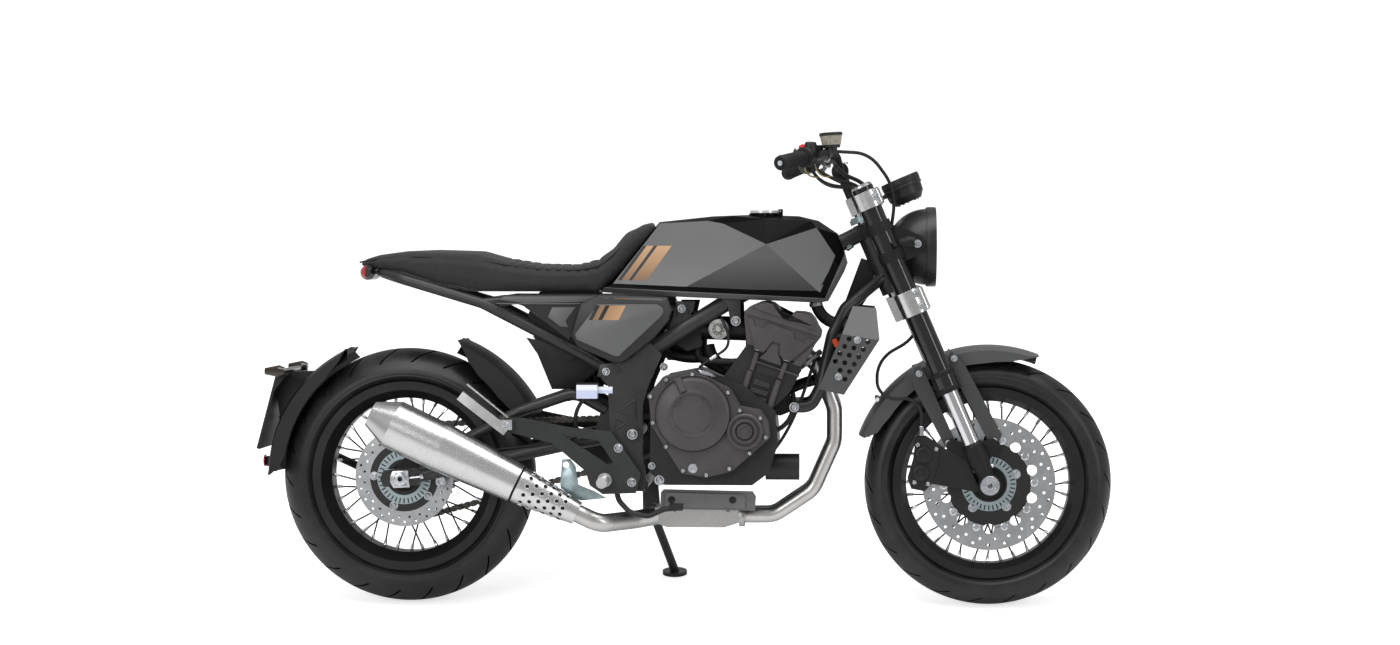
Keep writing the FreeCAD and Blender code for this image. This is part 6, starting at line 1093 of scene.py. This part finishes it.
# Calipers and rear reservoir. Black anodised opposed-piston calipers on bright bolts, and a
# translucent moulded reservoir with its level window.
dress(black_cast, "rear_caliper", "front_caliper")
piece("front_caliper_bolts", zinc, "steering",
      side_bolts(((1292, 386), (1272, 302), (1248, 396), (1240, 306)), 104.4, 6, 5, 0, (-1,)))
piece("front_caliper_caps", black_cast, "steering", [
    lathe([(0, 20), (4, 19), (5.5, 16.5), (5.5, 12), (3.8, 10.5), (3.8, 0)], 32, (x, -104.2, z), RIGHT)
    for x, z in ((1262, 372), (1255, 328))])
piece("rear_caliper_cap", black_cast, "frame", [
    lathe([(0, 17), (4, 16), (5, 13), (5, 8), (3, 7), (3, 0)], 32, (84, -104, 388), RIGHT)])
piece("caliper_anchor_bolt", zinc, "frame", [
    lathe([(0, 0), (0, 13), (3, 13.5), (9, 13.5), (11, 12), (11, 6), (7, 5), (7, 0)], 28, (94, -118, 305),
          RIGHT)])
pot_plastic, tree = new_material("reservoir_plastic")
height = in_machine(tree)[2]
milky = blend(tree, ramp(tree, height, 526, 530), (0.56, 0.60, 0.78), (0.80, 0.82, 0.88))
surfaced(tree, {
    "Base Color": blend(tree, figure(tree, "GREATER_THAN", height, 541), milky, 0.012), "Roughness": 0.3,
    "Subsurface Weight": 0.2, "Subsurface Radius": (0.004, 0.004, 0.005), "Specular IOR Level": 0.4})
dress(pot_plastic, "rear_brake_reservoir")
cables("rear_brake_lines", [
    (5, [(446, -146, 508), (430, -142, 488), (420, -138, 470), (424, -136, 440)]),
    (3.4, [(470, -150, 440), (420, -150, 402), (330, -142, 396), (220, -138, 380), (150, -130, 372),
           (116, -110, 380)])],
    cable_black, "frame")

# Handlebar and controls. A satin black tapered bar in forged clamps, ribbed rubber grips,
# moulded switch pods with bright screws and a clear brake cup under a black lid.
grip_rubber = finish("grip_rubber", 0.014, 0.66, specular=0.25, relief=0.5, fineness=700)
control_black = finish("control_plastic", 0.016, 0.42, specular=0.35, relief=0.3, fineness=1200, wear=0.2)
dress(matt_black, "handlebar")
dress(grip_rubber, "grips")
dress(control_black, "hand_controls")
BAR_END = Vector((927, 372, 1066))
bar_way = (Vector((1012, 168, 1095)) - BAR_END).normalized()


def to_side(point, sign):
    """A point or a way of the left side, on the side given."""
    return Vector((point.x, point.y * sign, point.z))


def on_bar(along, sign, forward=0, up=0):
    """A point along the bar from its end inward, on the side given."""
    return to_side(BAR_END + bar_way * along + Vector((forward, 0, up)), sign)


piece("grip_ribs", grip_rubber, "steering", [[
    [lathe([(0, 16.4), (0.8, 17.7), (3, 17.7), (3.8, 16.4)], 28, on_bar(12 + number * 6.6, sign),
           to_side(bar_way, sign)) for number in range(15)],
    lathe([(0, 0), (-9, 0), (-9, 14), (-5, 17.6), (2, 18.4), (6, 16.6)], 28, on_bar(-3, sign),
          to_side(bar_way, sign))] for sign in SIDES])
piece("control_screws", zinc, "steering", [[
    lathe([(0, 0), (0, 6.5), (-2, 6), (-2, 3), (-1, 2.6), (-1, 0)], 20, on_bar(-12, sign),
          to_side(bar_way, sign)),
    bolt(on_bar(173, sign, 36, -9), (0.1, sign, -0.1), 6, 5, 8),
    bolt(on_bar(140, sign, 4, 36.6), UP, 3.4, 2.4)] for sign in SIDES])
piece("switch_pods", control_black, "steering", [[
    lathe([(0, 20), (0, 23), (2, 24.4), (14, 24.4), (16, 23.4), (17, 23.4), (19, 24.4), (32, 24.4), (34, 23),
           (34, 20)], 32, on_bar(123.4, sign), to_side(bar_way, sign)),
    lathe([(0, 14.4), (2, 14.4), (7, 12), (8, 0)], 20, on_bar(141, sign, 10, 27.5), UP),
    bar(on_bar(128, sign, -18, 8), on_bar(150, sign, -18, 8), 9),
    lathe([(0, 8), (3, 8), (5, 5), (5, 0)], 14, on_bar(139, sign, -25, 12), (-1, 0, 0.3))] for sign in SIDES])
piece("kill_switch", finish("switch_red", (0.62, 0.008, 0.012), 0.35, specular=0.4, relief=0.1),
      "steering",
      [lathe([(0, 0), (0, 7.6), (6, 6.6), (7, 4), (7, 0)], 16, on_bar(136, -1, -8, 22), (-0.5, 0, 1))])
piece("bar_clamp_bolts", zinc, "steering",
      [bolt((x, sign * 29, 1076), UP, 4.6, 4.6) for sign in SIDES for x in (1046, 1074)])
cup_base = on_bar(150.3, -1, 56, 20)
cup_way = (FORK_UP * 0.2 + Vector(UP)).normalized()
cup_ribs = [[facing(cup_base, cup_way) @ Vector((radius * math.cos(way), radius * math.sin(way), up))
             for radius, up in ((21.6, 7), (25.4, 28))] for way in turns(14)]
cup_clear = finish("cup_polycarbonate", (0.30, 0.27, 0.22), 0.12, specular=0.6, relief=0.02, patches=0.3,
                   patch_size=60, coat=0.6)
piece("brake_cup_ribs", cup_clear, "steering", [
    lathe([(6, 20.8), (8, 21.8), (28, 25.6), (29, 25.6)], 40, cup_base, cup_way),
    [bar(*ends, 1.3, 8) for ends in cup_ribs]])
piece("brake_cup_lid", control_black, "steering", [
    lathe([(28.6, 0), (28.6, 27.2), (29.4, 27.6), (34, 27.6), (35.4, 26.4), (35.4, 20), (34.6, 19),
           (34.6, 0)],
          40, cup_base, cup_way)])
cables("bar_cables", [
    (3.6, [(985, -232, 1072), (1010, -196, 1050), (1046, -120, 1032), (1090, -66, 1030), (1120, -40, 1010),
           (1126, -36, 960)]),
    (3.6, [(990, -226, 1066), (1000, -200, 1036), (1040, -110, 1016), (1086, -70, 1020), (1116, -50, 1000),
           (1120, -46, 950)]),
    (3.6, [(985, 232, 1072), (1004, 196, 1040), (1040, 110, 1018), (1082, 50, 1022), (1116, 24, 1004),
           (1128, 20, 950)]),
    (4.2, [(1000, 210, 1070), (1052, 190, 1036), (1110, 120, 1020), (1150, 60, 990), (1160, 40, 930)]),
    (5, [(1046, -150, 1072), (1066, -100, 1046), (1092, -50, 1040), (1130, -30, 1020), (1152, -30, 970),
         (1150, -30, 920)])], cable_black, "steering")
cables("switch_wires", [
    (1.8, [(978, -250, 1066), (974, -244, 1046), (990, -216, 1034), (1010, -190, 1038)]),
    (1.8, [(1000, -214, 1068), (1004, -206, 1046), (1020, -186, 1036), (1036, -160, 1040)])],
    finish("cable_ferrule", (0.32, 0.26, 0.10), 0.4, metallic=0.7, relief=0.2), "steering")

# Dial and headlight. A round black dial under curved glass on a stepped rim, and a satin
# black lamp bowl with a clear lens over its reflector, on pressed ears with bright bolts.
dial_black = finish("dial_housing", 0.014, 0.38, specular=0.35, relief=0.2, fineness=1200)
dial_glass = finish("dial_glass", (0.010, 0.012, 0.015), 0.05, specular=0.6, relief=0, patches=0.4,
                    patch_size=30, coat=1)
lamp_paint = finish("lamp_paint", 0.017, 0.34, specular=0.35, relief=0.15, fineness=1400, patches=0.15)
DIAL = 93.5
dress(dial_black, "instrument")
dress(lamp_paint, "headlight")
dress(matt_black, "headlight_bracket")
piece("dial_ring", dial_black, "steering", [
    lathe([(738.5, 47.1), (739.5, 48.6), (744, 48.6), (745, 47.6), (748, 47.6), (749, 48.6), (760, 48.6),
           (764.5, 47), (764.5, 43.6), (762.5, 42.6)], 72, on_fork(0, DIAL), FORK_UP),
    [bolt(on_fork(702.6, DIAL + 26 * math.cos(way), 26 * math.sin(way)), -FORK_UP, 2.6, 2)
     for way in turns(5, 20)]])
piece("dial_glass_cover", dial_glass, "steering", [
    lathe([(760.4, 43.4), (762.4, 42.4), (764.2, 24), (764.8, 0)], 64, on_fork(0, DIAL), FORK_UP)])
LAMP = Vector((1292, 0, 873))
lamp_glass, tree = new_material("lamp_glass")
parts = in_machine(tree)
centred = put(tree, "CombineXYZ", {0: parts[1], 1: figure(tree, "SUBTRACT", parts[2], LAMP.z), 2: 0})
reach = put(tree, "VectorMath", {0: centred}, operation="LENGTH").outputs["Value"]
rings = figure(tree, "SINE", figure(tree, "MULTIPLY", reach, 0.55))
bowl = blend(tree, ramp(tree, reach, 60, 64), (0.10, 0.10, 0.11), (0.55, 0.56, 0.58))
surfaced(tree, {
    "Base Color": blend(tree, ramp(tree, reach, 30, 34), (0.75, 0.76, 0.78), bowl), "Roughness": 0.08,
    "Metallic": 0.6, "Coat Weight": 1, "Coat Roughness": 0.02,
    "Normal": bump(tree, 0.3, 0.0008, rings)})
dress(lamp_glass, "headlight_glass")
piece("lamp_bolts", zinc, "steering", [
    side_bolts(((1246, 880),), 101.4, 6.6, 6, 10), side_bolts(((1206, 852),), 101.4, 4.6, 4)])
piece("lamp_rim", lamp_paint, "steering", [
    lathe([(-22, 95.2), (-22, 96.6), (-19, 97.2), (-2, 97.2), (1, 96), (1, 90.5), (-1, 89.8)], 80, LAMP,
          (1, 0, 0))])
piece("stem_nut", blue_zinc, "steering", [
    lathe([(0, 0), (0, 24), (12, 24), (12, 19), (16, 19), (16, 0)], 6, on_fork(704, -38), FORK_UP)])

# Brake hose and stand. Braided hose in a black sheath with zinc unions at both its ends, and
# a forged black stand with a rubbed foot and its return spring.
dress(cable_black, "front_brake_hose")
dress(frame_black, "side_stand")
piece("hose_unions", zinc, "steering", [
    bar((1256, -90, 440), (1256, -90, 416), 6.4, 6), bar((1150, -84, 503), (1150, -70, 510), 6, 12)])
